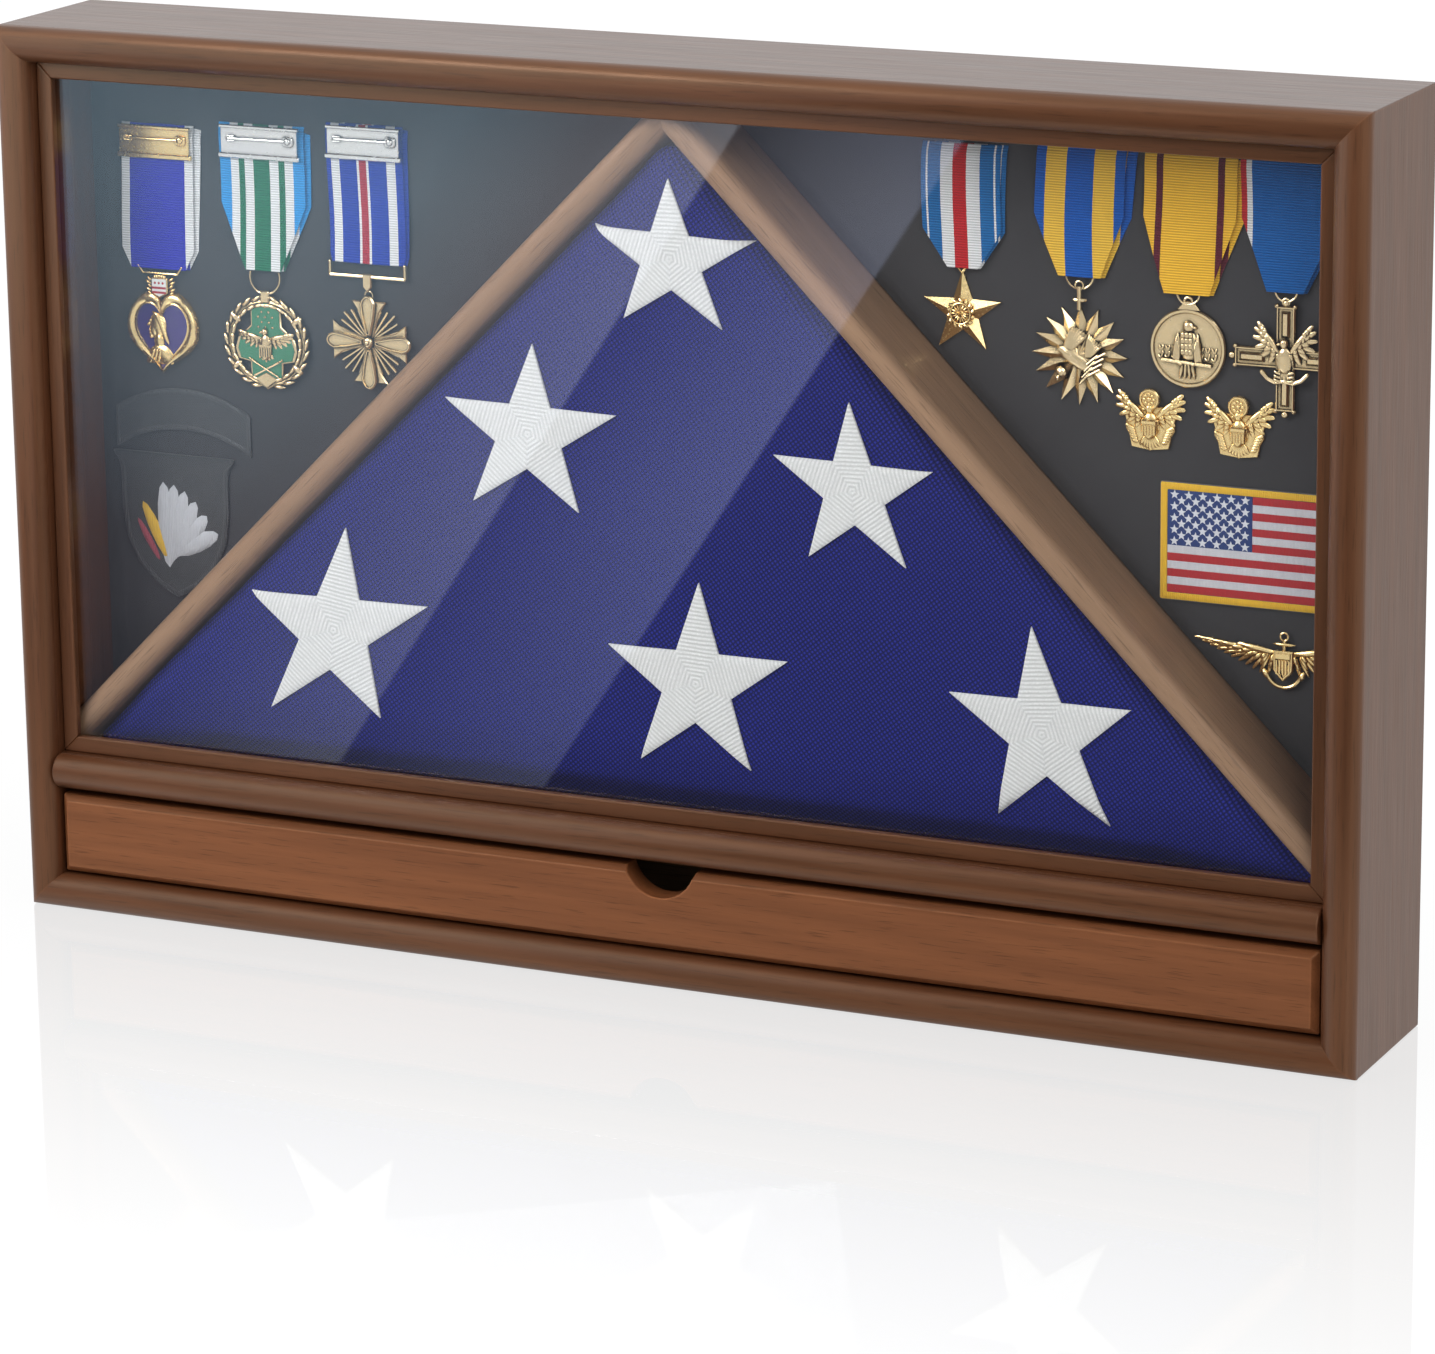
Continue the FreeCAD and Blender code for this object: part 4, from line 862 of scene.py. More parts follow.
class CASE_OT_flag(bpy.types.Operator):
    """Fold the flag into its padded triangle"""

    bl_idname = "flag_case.flag"
    bl_label = "Fold flag"

    def execute(self, context):
        cloth = context.scene.case_cloth
        low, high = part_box("folded_flag")
        blue = self.woven_blue(tuple(cloth.flag_blue), cloth.weave_pitch)
        parts = [(self.tight_fold(low, high), blue)]
        flag = piece("flag_bundle", parts, ("folded_flag",), smooth=180)
        remesh = flag.modifiers.new("remesh", "REMESH")
        remesh.mode = "VOXEL"
        remesh.voxel_size = 0.0035
        flag.data = baked(flag)
        flag.modifiers.clear()
        self.swell(context.scene, flag, low, high)
        self.press_face(flag, low, high)
        for face in flag.data.polygons:
            face.use_smooth = True
        finer = flag.modifiers.new("finer", "SUBSURF")
        finer.levels = finer.render_levels = 1
        return {"FINISHED"}

    def woven_blue(self, dark, pitch):
        """Dyed plain weave, with a painted highlight where the threads cross."""
        material, tree, shader, place = finish("flag_blue_cloth")
        turned = scaled(tree, place, (1, 1, 1), (0, math.radians(38), 0))
        weave = used(tree, plain_weave, {"Coordinates": turned, "Scale": WAVE_SCALE / pitch})
        worn = cloudy(tree, place, 22.0, 3.0)
        tone = mixed(tree, worn, tuple(0.85 * c for c in dark), tuple(1.15 * c for c in dark))
        # Painted highlight: the blue is paler where the threads cross.
        tone = mixed(tree, weave["Crossing Highlight"], tone, tuple(5.0 * c for c in dark))
        inputs = {
            "Base Color": tone,
            "Roughness": span(tree, weave["Height"], 0.0, 1.0, 0.82, 0.62),
            "Specular IOR Level": 0.10,
            "Sheen Weight": 0.03,
            "Normal": raised(tree, weave["Height"], 0.45, 0.0005),
        }
        set_up(tree, shader, inputs)
        return material

    def swell(self, scene, flag, low, high):
        """Blow the bundle up a little between its slats, as cloth under pressure."""
        frames = 20
        farthest = 0.004
        start = [vert.co.copy() for vert in flag.data.vertices]
        soft = flag.modifiers.new("swell", "CLOTH")
        soft.settings.use_pressure = True
        soft.settings.uniform_pressure_force = 4.0
        soft.settings.quality = 4
        soft.settings.effector_weights.gravity = 0.0
        soft.point_cache.frame_end = frames
        for number in range(1, frames + 1):
            scene.frame_set(number)
        swollen = baked(flag)
        flag.modifiers.clear()
        scene.frame_set(1)
        for vert, moved, first in zip(flag.data.vertices, swollen.vertices, start):
            step = (moved.co - first) * Vector((0.1, 1.0, 0.1))
            if step.length > farthest:
                step = step.normalized() * farthest
            vert.co = first + step
            vert.co.y = min(max(vert.co.y, low.y), high.y)
        bpy.data.meshes.remove(swollen)

    def press_face(self, flag, low, high):
        """Bring the face forward above its foot and keep it flat up to the roll at the slats."""
        forward = 0.0045
        roll = 0.006
        for vert in flag.data.vertices:
            rise = min(max((vert.co.z - low.z - 0.010) / 0.020, 0.0), 1.0)
            front = min(max((high.y - vert.co.y) / (high.y - low.y), 0.0), 1.0)
            inset = max((high.z - vert.co.z - abs(vert.co.x)) / math.sqrt(2.0), 0.0)
            flat = low.y - forward * rise + roll * max(1.0 - inset / roll, 0.0) ** 2
            share = 0.85 * rise * min(max((front - 0.65) / 0.2, 0.0), 1.0)
            crowned = vert.co.y - forward * rise * front
            vert.co.y = crowned + share * (flat - crowned)

    def tight_fold(self, low, high):
        """The folded triangle just clear of the slats, a little short of its depth, its edges rounded."""
        apex = high.z + 0.0038
        foot = low.z + 0.0004
        reach = apex - foot
        shape = bmesh.new()
        outline = rounded([(-reach, foot), (reach, foot), (0, apex)], 0.009)
        slab(shape, outline, -high.y, -low.y - 0.003)
        rims = [edge for edge in shape.edges if edge.calc_face_angle(0.0) > 1.0]
        bmesh.ops.bevel(
            shape,
            geom=rims,
            offset=0.0025,
            offset_type="OFFSET",
            segments=2,
            profile=0.5,
            affect="EDGES",
            material=-1,
        )
        return shape


class CASE_OT_flag_stars(bpy.types.Operator):
    """Embroider the white stars on the face of the flag"""

    bl_idname = "flag_case.flag_stars"
    bl_label = "Embroider stars"

    def execute(self, context):
        cloth = context.scene.case_cloth
        flag = bpy.data.objects["flag_bundle"]
        surface = BVHTree.FromObject(flag, context.evaluated_depsgraph_get())
        thread = embroidery(
            "star_thread", tuple(cloth.star_white), 2 * cloth.stitch_pitch, on_map=True, depth=0.9
        )
        whole = bmesh.new()
        layer = whole.loops.layers.uv.new("stitches")
        for (x, z), (wide, tall), degrees, lean in STARS:
            plain = [
                Vector((px * wide + pz * tall * lean, pz * tall))
                for px, pz in star_points(5, 1.0, cloth.star_inner)
            ]
            outline = [tuple(Matrix.Rotation(math.radians(degrees), 2) @ point) for point in plain]
            rim = [whole.verts.new((x + px, 0, z + pz)) for px, pz in outline]
            face = whole.faces.new(rim)
            bmesh.ops.poke(whole, faces=[face])
            facets = list({f for vert in rim for f in vert.link_faces})
            for facet in facets:
                tip = max(facet.verts, key=lambda v: (v.co - Vector((x, 0, z))).length)
                axis = (tip.co - Vector((x, 0, z))).normalized()
                across = Vector((-axis.z, 0, axis.x))
                for loop in facet.loops:
                    away = loop.vert.co - Vector((x, 0, z))
                    loop[layer].uv = (away.dot(axis), away.dot(across))
        for _ in range(3):
            bmesh.ops.subdivide_edges(whole, edges=whole.edges[:], cuts=1, use_grid_fill=True)
        rims = {vert for edge in whole.edges if edge.is_boundary for vert in edge.verts}
        for vert in whole.verts:
            lift = 0.0002 if vert in rims else 0.0010
            hit = surface.ray_cast(Vector((vert.co.x, -0.2, vert.co.z)), Vector((0, 1, 0)))[0]
            if hit is None:
                hit = surface.find_nearest(Vector((vert.co.x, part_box("folded_flag")[0].y, vert.co.z)))[0]
            vert.co = hit - Vector((0, lift, 0))
        bmesh.ops.solidify(whole, geom=whole.faces[:], thickness=-0.0010)
        piece("flag_stars", [(whole, thread)], (), smooth=60)
        return {"FINISHED"}


WHITE = (0.78, 0.78, 0.80)
VIOLET = (0.014, 0.008, 0.450)
SKY = (0.020, 0.300, 0.740)
GREEN = (0.006, 0.165, 0.075)
NAVY = (0.004, 0.034, 0.400)
CRIMSON = (0.430, 0.010, 0.030)
STEEL = (0.010, 0.140, 0.400)
RED = (0.520, 0.014, 0.020)
ROYAL = (0.005, 0.095, 0.440)
AMBER = (0.860, 0.520, 0.060)
YELLOW = (0.930, 0.520, 0.040)
MAROON = (0.115, 0.012, 0.026)
SCARLET = (0.520, 0.018, 0.024)
AZURE = (0.002, 0.110, 0.400)


# Stripes, share of the width at the foot, share of the height that narrows, rear layer's shift in mm.
RIBBONS = {
    "heart": ([(0.115, WHITE), (0.885, VIOLET), (1, WHITE)], 0.757, 0.136, 3.6),
    "wreath": (
        [(0.13, SKY), (0.23, WHITE), (0.30, GREEN), (0.405, WHITE), (0.595, GREEN)]
        + [(0.70, WHITE), (0.77, GREEN), (0.87, WHITE), (1, SKY)],
        0.419,
        0.455,
        3.0,
    ),
    "propeller": (
        [(0.06, NAVY), (0.175, WHITE), (0.405, NAVY), (0.435, WHITE), (0.53, CRIMSON)]
        + [(0.56, WHITE), (0.79, NAVY), (0.905, WHITE), (1, NAVY)],
        0.947,
        0.065,
        2.5,
    ),
    "star": (
        [(0.06, STEEL), (0.085, WHITE), (0.25, STEEL), (0.405, WHITE), (0.575, RED)]
        + [(0.745, WHITE), (0.915, STEEL), (0.94, WHITE), (1, STEEL)],
        0.389,
        0.302,
        2.5,
    ),
    "sunburst": (
        [(0.11, ROYAL), (0.345, AMBER), (0.655, ROYAL), (0.89, AMBER), (1, ROYAL)], 0.475, 0.473, 4.5
    ),
    "disc": (
        [(0.13, YELLOW), (0.205, MAROON), (0.795, YELLOW), (0.87, MAROON), (1, YELLOW)], 0.488, 0.542, 4.0
    ),
    "cross": (
        [(0.06, SCARLET), (0.12, WHITE), (0.88, AZURE), (0.94, WHITE), (1, SCARLET)], 0.390, 0.536, 3.0
    ),
}


def ribbon_layer(wide, tall, foot, taper, shift, back, sway):
    """One thickness of ribbon, its lower corners folded away, with its stripes mapped across it."""
    shape = bmesh.new()
    bmesh.ops.create_grid(shape, x_segments=14, y_segments=26, size=0.5)
    upright = Matrix.Diagonal((wide, 1, tall, 1)) @ Matrix.Rotation(math.pi / 2, 4, "X")
    bmesh.ops.transform(shape, matrix=upright, verts=shape.verts[:])
    layer = shape.loops.layers.uv.new("weave")
    for face in shape.faces:
        for loop in face.loops:
            loop[layer].uv = (loop.vert.co.x / wide + 0.5, loop.vert.co.z)
    for side in (-1, 1):
        knee = Vector((side * wide / 2, 0, -tall / 2 + tall * taper))
        toe = Vector((side * wide / 2 * foot, 0, -tall / 2))
        run = toe - knee
        outward = Vector((-run.z, 0, run.x)) * side
        outward = outward if outward.x * side > 0 else -outward
        bmesh.ops.bisect_plane(
            shape,
            geom=shape.verts[:] + shape.edges[:] + shape.faces[:],
            plane_co=knee,
            plane_no=outward,
            clear_outer=True,
        )
    for vert in shape.verts:
        x, z = vert.co.x / wide, vert.co.z / tall
        bow = 0.0008 * math.cos(math.pi * x) + 0.0004 * math.sin(5.5 * z + sway) * (0.5 + x)
        fold = 0.0014 * max(0.0, (z - 0.40) / 0.10) ** 2
        vert.co.y = back - bow + fold
        vert.co.x += 0.0007 * math.sin(4.2 * z + sway) + shift * (0.35 + 0.65 * (z + 0.5))
    bmesh.ops.recalc_face_normals(shape, faces=shape.faces[:])
    bmesh.ops.solidify(shape, geom=shape.faces[:], thickness=0.0005)
    return shape


class CASE_OT_ribbons(bpy.types.Operator):
    """Fold the seven striped ribbons"""

    bl_idname = "flag_case.ribbons"
    bl_label = "Fold ribbons"

    def execute(self, context):
        pitch = context.scene.case_cloth.rib_pitch
        for index, (name, (stripes, foot, taper, shift)) in enumerate(RIBBONS.items()):
            material, tree, shader, _ = finish(name + "_silk")
            split = add(tree, "ShaderNodeSeparateXYZ", {0: own_map(tree)}).outputs
            ribs = rows(tree, own_map(tree), pitch, "Y", 0.2)
            fray = cloudy(tree, scaled(tree, own_map(tree), (40, 2500, 1)), 1.0, 2.0)
            edge = sums(tree, "MULTIPLY_ADD", sums(tree, "SUBTRACT", fray, 0.5), 0.012, split["X"])
            tone = bands(tree, edge, stripes)
            # Painted shade: the stripes are darkened in the troughs between the ribs.
            tone = mixed(
                tree, sums(tree, "MULTIPLY", sums(tree, "SUBTRACT", 1.0, ribs), 0.42), tone,
                (0.1, 0.1, 0.1), "MULTIPLY",
            )
            inputs = {
                "Base Color": tone,
                "Roughness": span(tree, ribs, 0, 1, 0.62, 0.45),
                "Normal": raised(tree, ribs, 0.5, 0.0004),
                "Specular IOR Level": 0.12,
                "Sheen Weight": 0.02,
            }
            set_up(tree, shader, inputs)
            node = name + "_ribbon"
            low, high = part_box(node)
            wide, tall = high.x - low.x, high.z - low.z
            centre = (low + high) / 2
            front = ribbon_layer(wide, tall, foot, taper, 0.0, low.y + 0.0010, index * 1.3)
            rear = ribbon_layer(wide, tall, foot, taper, shift * MM, high.y - 0.0006, index * 1.3 + 0.2)
            for shape in (front, rear):
                settled(shape, centre.x, centre.z, 0.0)
            strip = piece(node + "_strip", [(front, material), (rear, material)], (node,), smooth=50)
        return {"FINISHED"}


class CASE_OT_brooch_bars(bpy.types.Operator):
    """Make the three brooch bars with their pins"""

    bl_idname = "flag_case.brooch_bars"
    bl_label = "Make brooch bars"

    def execute(self, context):
        tones = context.scene.case_metal
        gold = bpy.data.materials["struck_gold"]
        silver = metal("silver_plate", tuple(tones.silver), (0.20, 0.19, 0.17), 0.22)
        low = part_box("brooch_bars")[0]
        for name, plate in (("heart", gold), ("wreath", silver), ("propeller", silver)):
            band_low, band_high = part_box(name + "_ribbon")
            x = (band_low.x + band_high.x) / 2
            wide = 0.038 if name != "wreath" else 0.041
            z = band_high.z - 0.0075
            shape = bmesh.new()
            slab(shape, rounded(rectangle(0, 0, wide * 0.94, 0.0125), 0.0008), 0.0, 0.0012, 0.0003)
            slab(shape, rounded(rectangle(0, -0.0068, wide, 0.0022), 0.0008), 0.0, 0.0019, 0.0004)
            slab(shape, rounded(rectangle(0, 0.0062, wide * 0.97, 0.0014), 0.0005), 0.0, 0.0017, 0.0003)
            rod(shape, (-wide * 0.36, -0.0021, 0.0010), (wide * 0.38, -0.0021, 0.0012), 0.0009)
            for i in range(4):
                ring(shape, -wide * 0.36 + i * 0.0007, 0.0010, 0.0011, 0.0006, 0.0019, steps=12)
            slab(
                shape, rounded(rectangle(wide * 0.37, 0.001, 0.0052, 0.0046), 0.0016), 0.001, 0.0022, 0.0004
            )
            dome(shape, wide * 0.37, 0.0012, 0.0017, 0.0017, 0.0010, 0.0022)
            settled(shape, x, z, low.y + 0.0017)
            piece(name + "_brooch", [(shape, plate)], ("brooch_bars",))
        return {"FINISHED"}


class CASE_OT_heart_pendant(bpy.types.Operator):
    """Make the enamelled heart with its bust and crest"""

    bl_idname = "flag_case.heart_pendant"
    bl_label = "Make heart pendant"

    def execute(self, context):
        low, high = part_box("heart_pendant")
        gold, violet, white, red = bmesh.new(), bmesh.new(), bmesh.new(), bmesh.new()
        wide, tall = (high.x - low.x) * 0.98, 0.0430
        outer = heart_points(wide, tall, 0.30)
        inner = heart_points(wide * 0.70, tall * 0.74, 0.95, 0, -0.0004)
        slab(gold, outer, 0.0, 0.0010)
        swell = [(0.0, 0.0008), (0.05, 0.0020), (0.25, 0.0031), (0.55, 0.0032)]
        lip = [(0.80, 0.0024), (0.86, 0.0026), (0.95, 0.0026), (1.0, 0.0014)]
        band(gold, outer, inner, swell + lip)
        slab(violet, heart_points(wide * 0.71, tall * 0.75, 0.95, 0, -0.0004), 0.0008, 0.0016)
        head = bmesh.new()
        bust = -0.0018
        dome(head, bust, -0.0002, 0.0036, 0.0047, 0.0013, 0.0018, 0.1, 16)
        dome(head, bust - 0.0016, -0.0022, 0.0022, 0.0026, 0.0011, 0.0019, 0.0, 12)
        leaf(head, (bust - 0.0028, 0.0008), (bust - 0.0047, -0.0008), 0.0013, 0.0008, 0.0020)
        dome(head, bust - 0.0033, -0.0024, 0.0008, 0.0005, 0.0007, 0.0020)
        dome(head, bust - 0.0031, -0.0036, 0.0008, 0.0005, 0.0007, 0.0020)
        dome(head, bust - 0.0028, -0.0047, 0.0010, 0.0009, 0.0008, 0.0019)
        dome(head, bust - 0.0029, 0.0014, 0.0011, 0.0006, 0.0008, 0.0020, 0.4)
        for i in range(7):
            t = i / 6
            leaf(
                head,
                (bust - 0.0022 + 0.0020 * t, 0.0048 - 0.0006 * t),
                (bust + 0.0024 + 0.0022 * t, 0.0022 - 0.0098 * t),
                0.0018,
                0.0011,
                0.0022,
            )
        leaf(head, (bust + 0.0002, -0.0030), (bust + 0.0004, -0.0100), 0.0046, 0.0012, 0.0017)
        shoulders = [
            (-0.0062, -0.0152), (0.0058, -0.0152), (0.0060, -0.0118), (0.0036, -0.0086), (-0.0008, -0.0072),
            (-0.0044, -0.0098), (-0.0058, -0.0126),
        ]
        slab(head, rounded([(bust + 0.0006 + x, z) for x, z in shoulders], 0.0012), 0.0014, 0.0026, 0.0006)
        for i in range(3):
            leaf(
                head, (bust - 0.0012 + 0.0012 * i, -0.0088), (bust - 0.0036 + 0.0018 * i, -0.0150), 0.0013,
                0.0007, 0.0024,
            )
        grown = Matrix.Translation((0, 0, 0.0066)) @ Matrix.Diagonal((1.2, 1.0, 1.2, 1))
        bmesh.ops.transform(head, matrix=grown, verts=head.verts[:])
        taken_in(gold, head)
        crest = tall * 0.50
        shield = [
            (-0.0036, crest + 0.0062), (0.0036, crest + 0.0062), (0.0036, crest), (0.0, crest - 0.0018),
            (-0.0036, crest),
        ]
        slab(
            gold,
            rounded([(1.14 * x, crest + 0.0020 + 1.14 * (z - crest - 0.0020)) for x, z in shield], 0.0005),
            0.0012, 0.0032, 0.0003,
        )
        slab(white, rounded(shield, 0.0004), 0.0030, 0.0036)
        for z, thin in ((crest + 0.0022, 0.0010), (crest + 0.0001, 0.0010)):
            slab(red, rectangle(0, z, 0.0071, thin), 0.0034, 0.0038)
        for i in range(3):
            dome(red, (i - 1) * 0.0020, crest + 0.0044, 0.0006, 0.0006, 0.0003, 0.0036, around=8)
        for side in (-1, 1):
            for i in range(5):
                x = side * (0.0050 + 0.0010 * (i % 2))
                z = crest - 0.0012 + 0.0016 * i
                leaf(gold, (side * 0.0044, z), (x + side * 0.0018, z + 0.0016), 0.0013, 0.0008, 0.0022)
        for i in range(5):
            dome(
                gold, (i - 2) * 0.0012, crest + 0.0074 - 0.0002 * abs(i - 2), 0.0009, 0.0010, 0.0009,
                0.0026, around=8,
            )
        top = high.z - (low.z + tall * 0.53)
        wire(
            gold,
            [
                (-0.0112, top + 0.0012), (-0.0088, crest + 0.0086), (0.0088, crest + 0.0086),
                (0.0112, top + 0.0012),
            ], 0.0011, 0.0020,
        )
        x, z = (low.x + high.x) / 2, low.z + tall * 0.53
        parts = [
            (gold, bpy.data.materials["struck_gold"]),
            (violet, enamel("violet_enamel", (0.040, 0.018, 0.165))),
            (white, enamel("white_enamel", (0.80, 0.80, 0.80))),
            (red, enamel("red_enamel", (0.42, 0.010, 0.020))),
        ]
        piece("heart_pendant_struck", all_settled(parts, x, z), ("heart_pendant",))
        return {"FINISHED"}


class CASE_OT_wreath_pendant(bpy.types.Operator):
    """Make the open wreath with its enamelled plaque"""

    bl_idname = "flag_case.wreath_pendant"
    bl_label = "Make wreath pendant"

    def execute(self, context):
        low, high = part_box("wreath_pendant")
        bronze, green = bmesh.new(), bmesh.new()
        radius = (high.x - low.x) / 2
        ring(bronze, 0, 0, radius - 0.0022, 0.0024, 0.0012, steps=48)
        for i in range(24):
            t = math.radians(90 + (i + 0.5) * 15)
            lean = math.radians(9) * (1 if math.cos(t) < 0 else -1)
            for side in (-1, 1):
                at = radius - 0.0024 + side * 0.0011
                start = (at * math.cos(t), at * math.sin(t))
                way = t + math.pi / 2 * (-1 if math.cos(t) < 0 else 1) + lean * side
                leaf(
                    bronze, start, (start[0] + 0.0066 * math.cos(way), start[1] + 0.0066 * math.sin(way)),
                    0.0021, 0.0012, 0.0021, 8,
                )
        for degrees in (35, 145, 215, 325):
            t = math.radians(degrees)
            dome(
                bronze, (radius - 0.0020) * math.cos(t), (radius - 0.0020) * math.sin(t), 0.0018, 0.0034,
                0.0017, 0.0018, t - math.pi / 2,
            )
        plaque = [
            (0.0, 0.0205),
            (0.0078, 0.0158),
            (0.0078, 0.0080),
            (0.0145, 0.0020),
            (0.0160, -0.0030),
            (0.0145, -0.0078),
            (0.0084, -0.0090),
            (0.0082, -0.0165),
            (0.0, -0.0212),
        ]
        outline = plaque + [(-x, z) for x, z in plaque[-2:0:-1]]
        slab(bronze, outline, 0.0008, 0.0024, 0.0003)
        slab(green, [(x * 0.90, z * 0.93) for x, z in outline], 0.0020, 0.0027, 0.0002)
        for row, count in enumerate((1, 2, 3, 2, 3)):
            for i in range(count):
                dome(
                    bronze, (i - (count - 1) / 2) * 0.0036, 0.0166 - row * 0.0023, 0.0006, 0.0006, 0.0006,
                    0.0027, around=6,
                )
        eagle(bronze, 0, 0.0005, 0.0200, math.radians(14), 0.0026, 0.0012)
        slab(
            bronze,
            rounded(
                [(-0.0034, 0.0000), (0.0034, 0.0000), (0.0030, -0.0052), (0.0, -0.0078), (-0.0030, -0.0052)],
                0.0006,
            ), 0.0026, 0.0042, 0.0005,
        )
        for i in range(5):
            slab(bronze, rectangle((i - 2) * 0.0012, -0.0038, 0.0004, 0.0040), 0.0040, 0.0045)
        for side in (-1, 1):
            rod(bronze, (side * -0.0062, -0.0030, -0.0150), (side * 0.0066, -0.0034, -0.0082), 0.0009)
            for i in range(3):
                leaf(
                    bronze, (side * (0.0062 - 0.0012 * i), -0.0086 - 0.0006 * i),
                    (side * (0.0088 - 0.0012 * i), -0.0066 - 0.0006 * i), 0.0008, 0.0006, 0.0030, 6,
                )
        slab(
            bronze, [(0.0, -0.0132), (0.0058, -0.0162), (0.0, -0.0204), (-0.0058, -0.0162)], 0.0024, 0.0032,
            0.0003,
        )
        ring(bronze, 0, 0.0300, 0.0076, 0.0011, 0.0018, math.radians(160), math.radians(220), 24)
        slab(bronze, rounded(rectangle(0, 0.0212, 0.0044, 0.0056), 0.0010), 0.0006, 0.0032, 0.0006)
        parts = [
            (bronze, bpy.data.materials["struck_bronze"]),
            (green, enamel("green_enamel", (0.030, 0.190, 0.095))),
        ]
        all_settled(parts, (low.x + high.x) / 2, low.z + radius)
        piece("wreath_pendant_struck", parts, ("wreath_pendant",))
        return {"FINISHED"}


class CASE_OT_propeller_pendant(bpy.types.Operator):
    """Make the flared cross with its rays and four blades"""

    bl_idname = "flag_case.propeller_pendant"
    bl_label = "Make propeller pendant"

    def execute(self, context):
        low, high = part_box("propeller_pendant")
        bronze = bmesh.new()
        radius = (high.x - low.x) / 2
        for quarter in range(4):
            arm = [
                (-0.0022, 0.0020), (0.0022, 0.0020), (0.0050, radius * 0.62), (0.0088, radius * 0.86),
                (-0.0088, radius * 0.86), (-0.0050, radius * 0.62),
            ]
            slab(bronze, quarter_turned(arm, quarter), 0.0004, 0.0022, 0.0005)
            blade = arc_points(0, radius * 0.70, 0.0041, 20, 160, 10) + [
                (-0.0030, radius * 0.50), (-0.0011, 0.0030), (0.0011, 0.0030), (0.0030, radius * 0.50)
            ]
            blade = [
                (x, z if z < radius * 0.6 else radius * 0.70 + (z - radius * 0.70) * 1.55) for x, z in blade
            ]
            face = slab(bronze, quarter_turned(blade, quarter), 0.0020, 0.0038, 0.0006)
            sunk(bronze, face, 0.0004, 0.0003, 0.0006)
            for i in range(5):
                t = math.radians(45 + (i - 2) * 12) + quarter * math.pi / 2
                far = radius * (0.72, 0.78, 0.84, 0.78, 0.72)[i]
                rod(
                    bronze, (0.0030 * math.cos(t), -0.0012, 0.0030 * math.sin(t)),
                    (far * math.cos(t), -0.0012, far * math.sin(t)), 0.0013, 6,
                )
        dome(bronze, 0, 0, 0.0026, 0.0026, 0.0015, 0.0034, around=14)
        dome(bronze, 0, 0, 0.0012, 0.0012, 0.0010, 0.0046, around=10)
        foot = high.z - (low.z + radius)
        wide = 0.0188
        wire(
            bronze, [(-wide, foot), (-wide, foot - 0.0058), (wide, foot - 0.0058), (wide, foot)], 0.0017,
            0.0022,
        )
        slab(
            bronze,
            [
                (-0.0022, foot - 0.0045), (-0.0022, foot - 0.0105), (0.0, foot - 0.0128),
                (0.0022, foot - 0.0105), (0.0022, foot - 0.0045),
            ], 0.0010, 0.0034, 0.0005,
        )
        ring(bronze, 0.0004, foot - 0.0142, 0.0019, 0.0009, 0.0022, steps=16)
        settled(bronze, (low.x + high.x) / 2, low.z + radius)
        piece(
            "propeller_pendant_struck", [(bronze, bpy.data.materials["struck_bronze"])],
            ("propeller_pendant",),
        )
        return {"FINISHED"}


class CASE_OT_star_pendant(bpy.types.Operator):
    """Make the ridged gilt star with its rosette"""

    bl_idname = "flag_case.star_pendant"
    bl_label = "Make star pendant"

    def execute(self, context):
        low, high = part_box("star_pendant")
        gold = bmesh.new()
        radius = (high.x - low.x) / 2 / math.cos(math.radians(18))
        ridged_star(gold, 0, 0, 5, radius, radius * 0.40, 0.0, 0.0042, 0.0014, 0.0006)
        for i in range(14):
            t = math.tau * i / 14
            leaf(
                gold, (0.0046 * math.cos(t), 0.0046 * math.sin(t)),
                (0.0066 * math.cos(t + 0.35), 0.0066 * math.sin(t + 0.35)), 0.0018, 0.0009, 0.0034, 6,
            )
        ring(gold, 0, 0, 0.0045, 0.0009, 0.0038, steps=24)
        for i in range(16):
            t = math.tau * i / 16
            leaf(
                gold, (0.0012 * math.cos(t), 0.0012 * math.sin(t)),
                (0.0041 * math.cos(t), 0.0041 * math.sin(t)), 0.0009, 0.0006, 0.0036, 6,
            )
        ridged_star(gold, 0, 0, 5, 0.0016, 0.0007, 0.0034, 0.0048, 0.0040)
        top = high.z - (low.z + radius * math.cos(math.radians(36)))
        ring(gold, 0, radius + 0.0006, 0.0014, 0.0008, 0.0016, steps=14)
        wire(
            gold, [(-0.0030, top + 0.0012), (0.0, radius - 0.0010), (0.0030, top + 0.0012)], 0.0008, 0.0018
        )
        settled(gold, (low.x + high.x) / 2, low.z + radius * math.cos(math.radians(36)))
        piece(
            "star_pendant_struck", [(gold, bpy.data.materials["struck_gold"])], ("star_pendant",),
            smooth=25,
        )
        return {"FINISHED"}


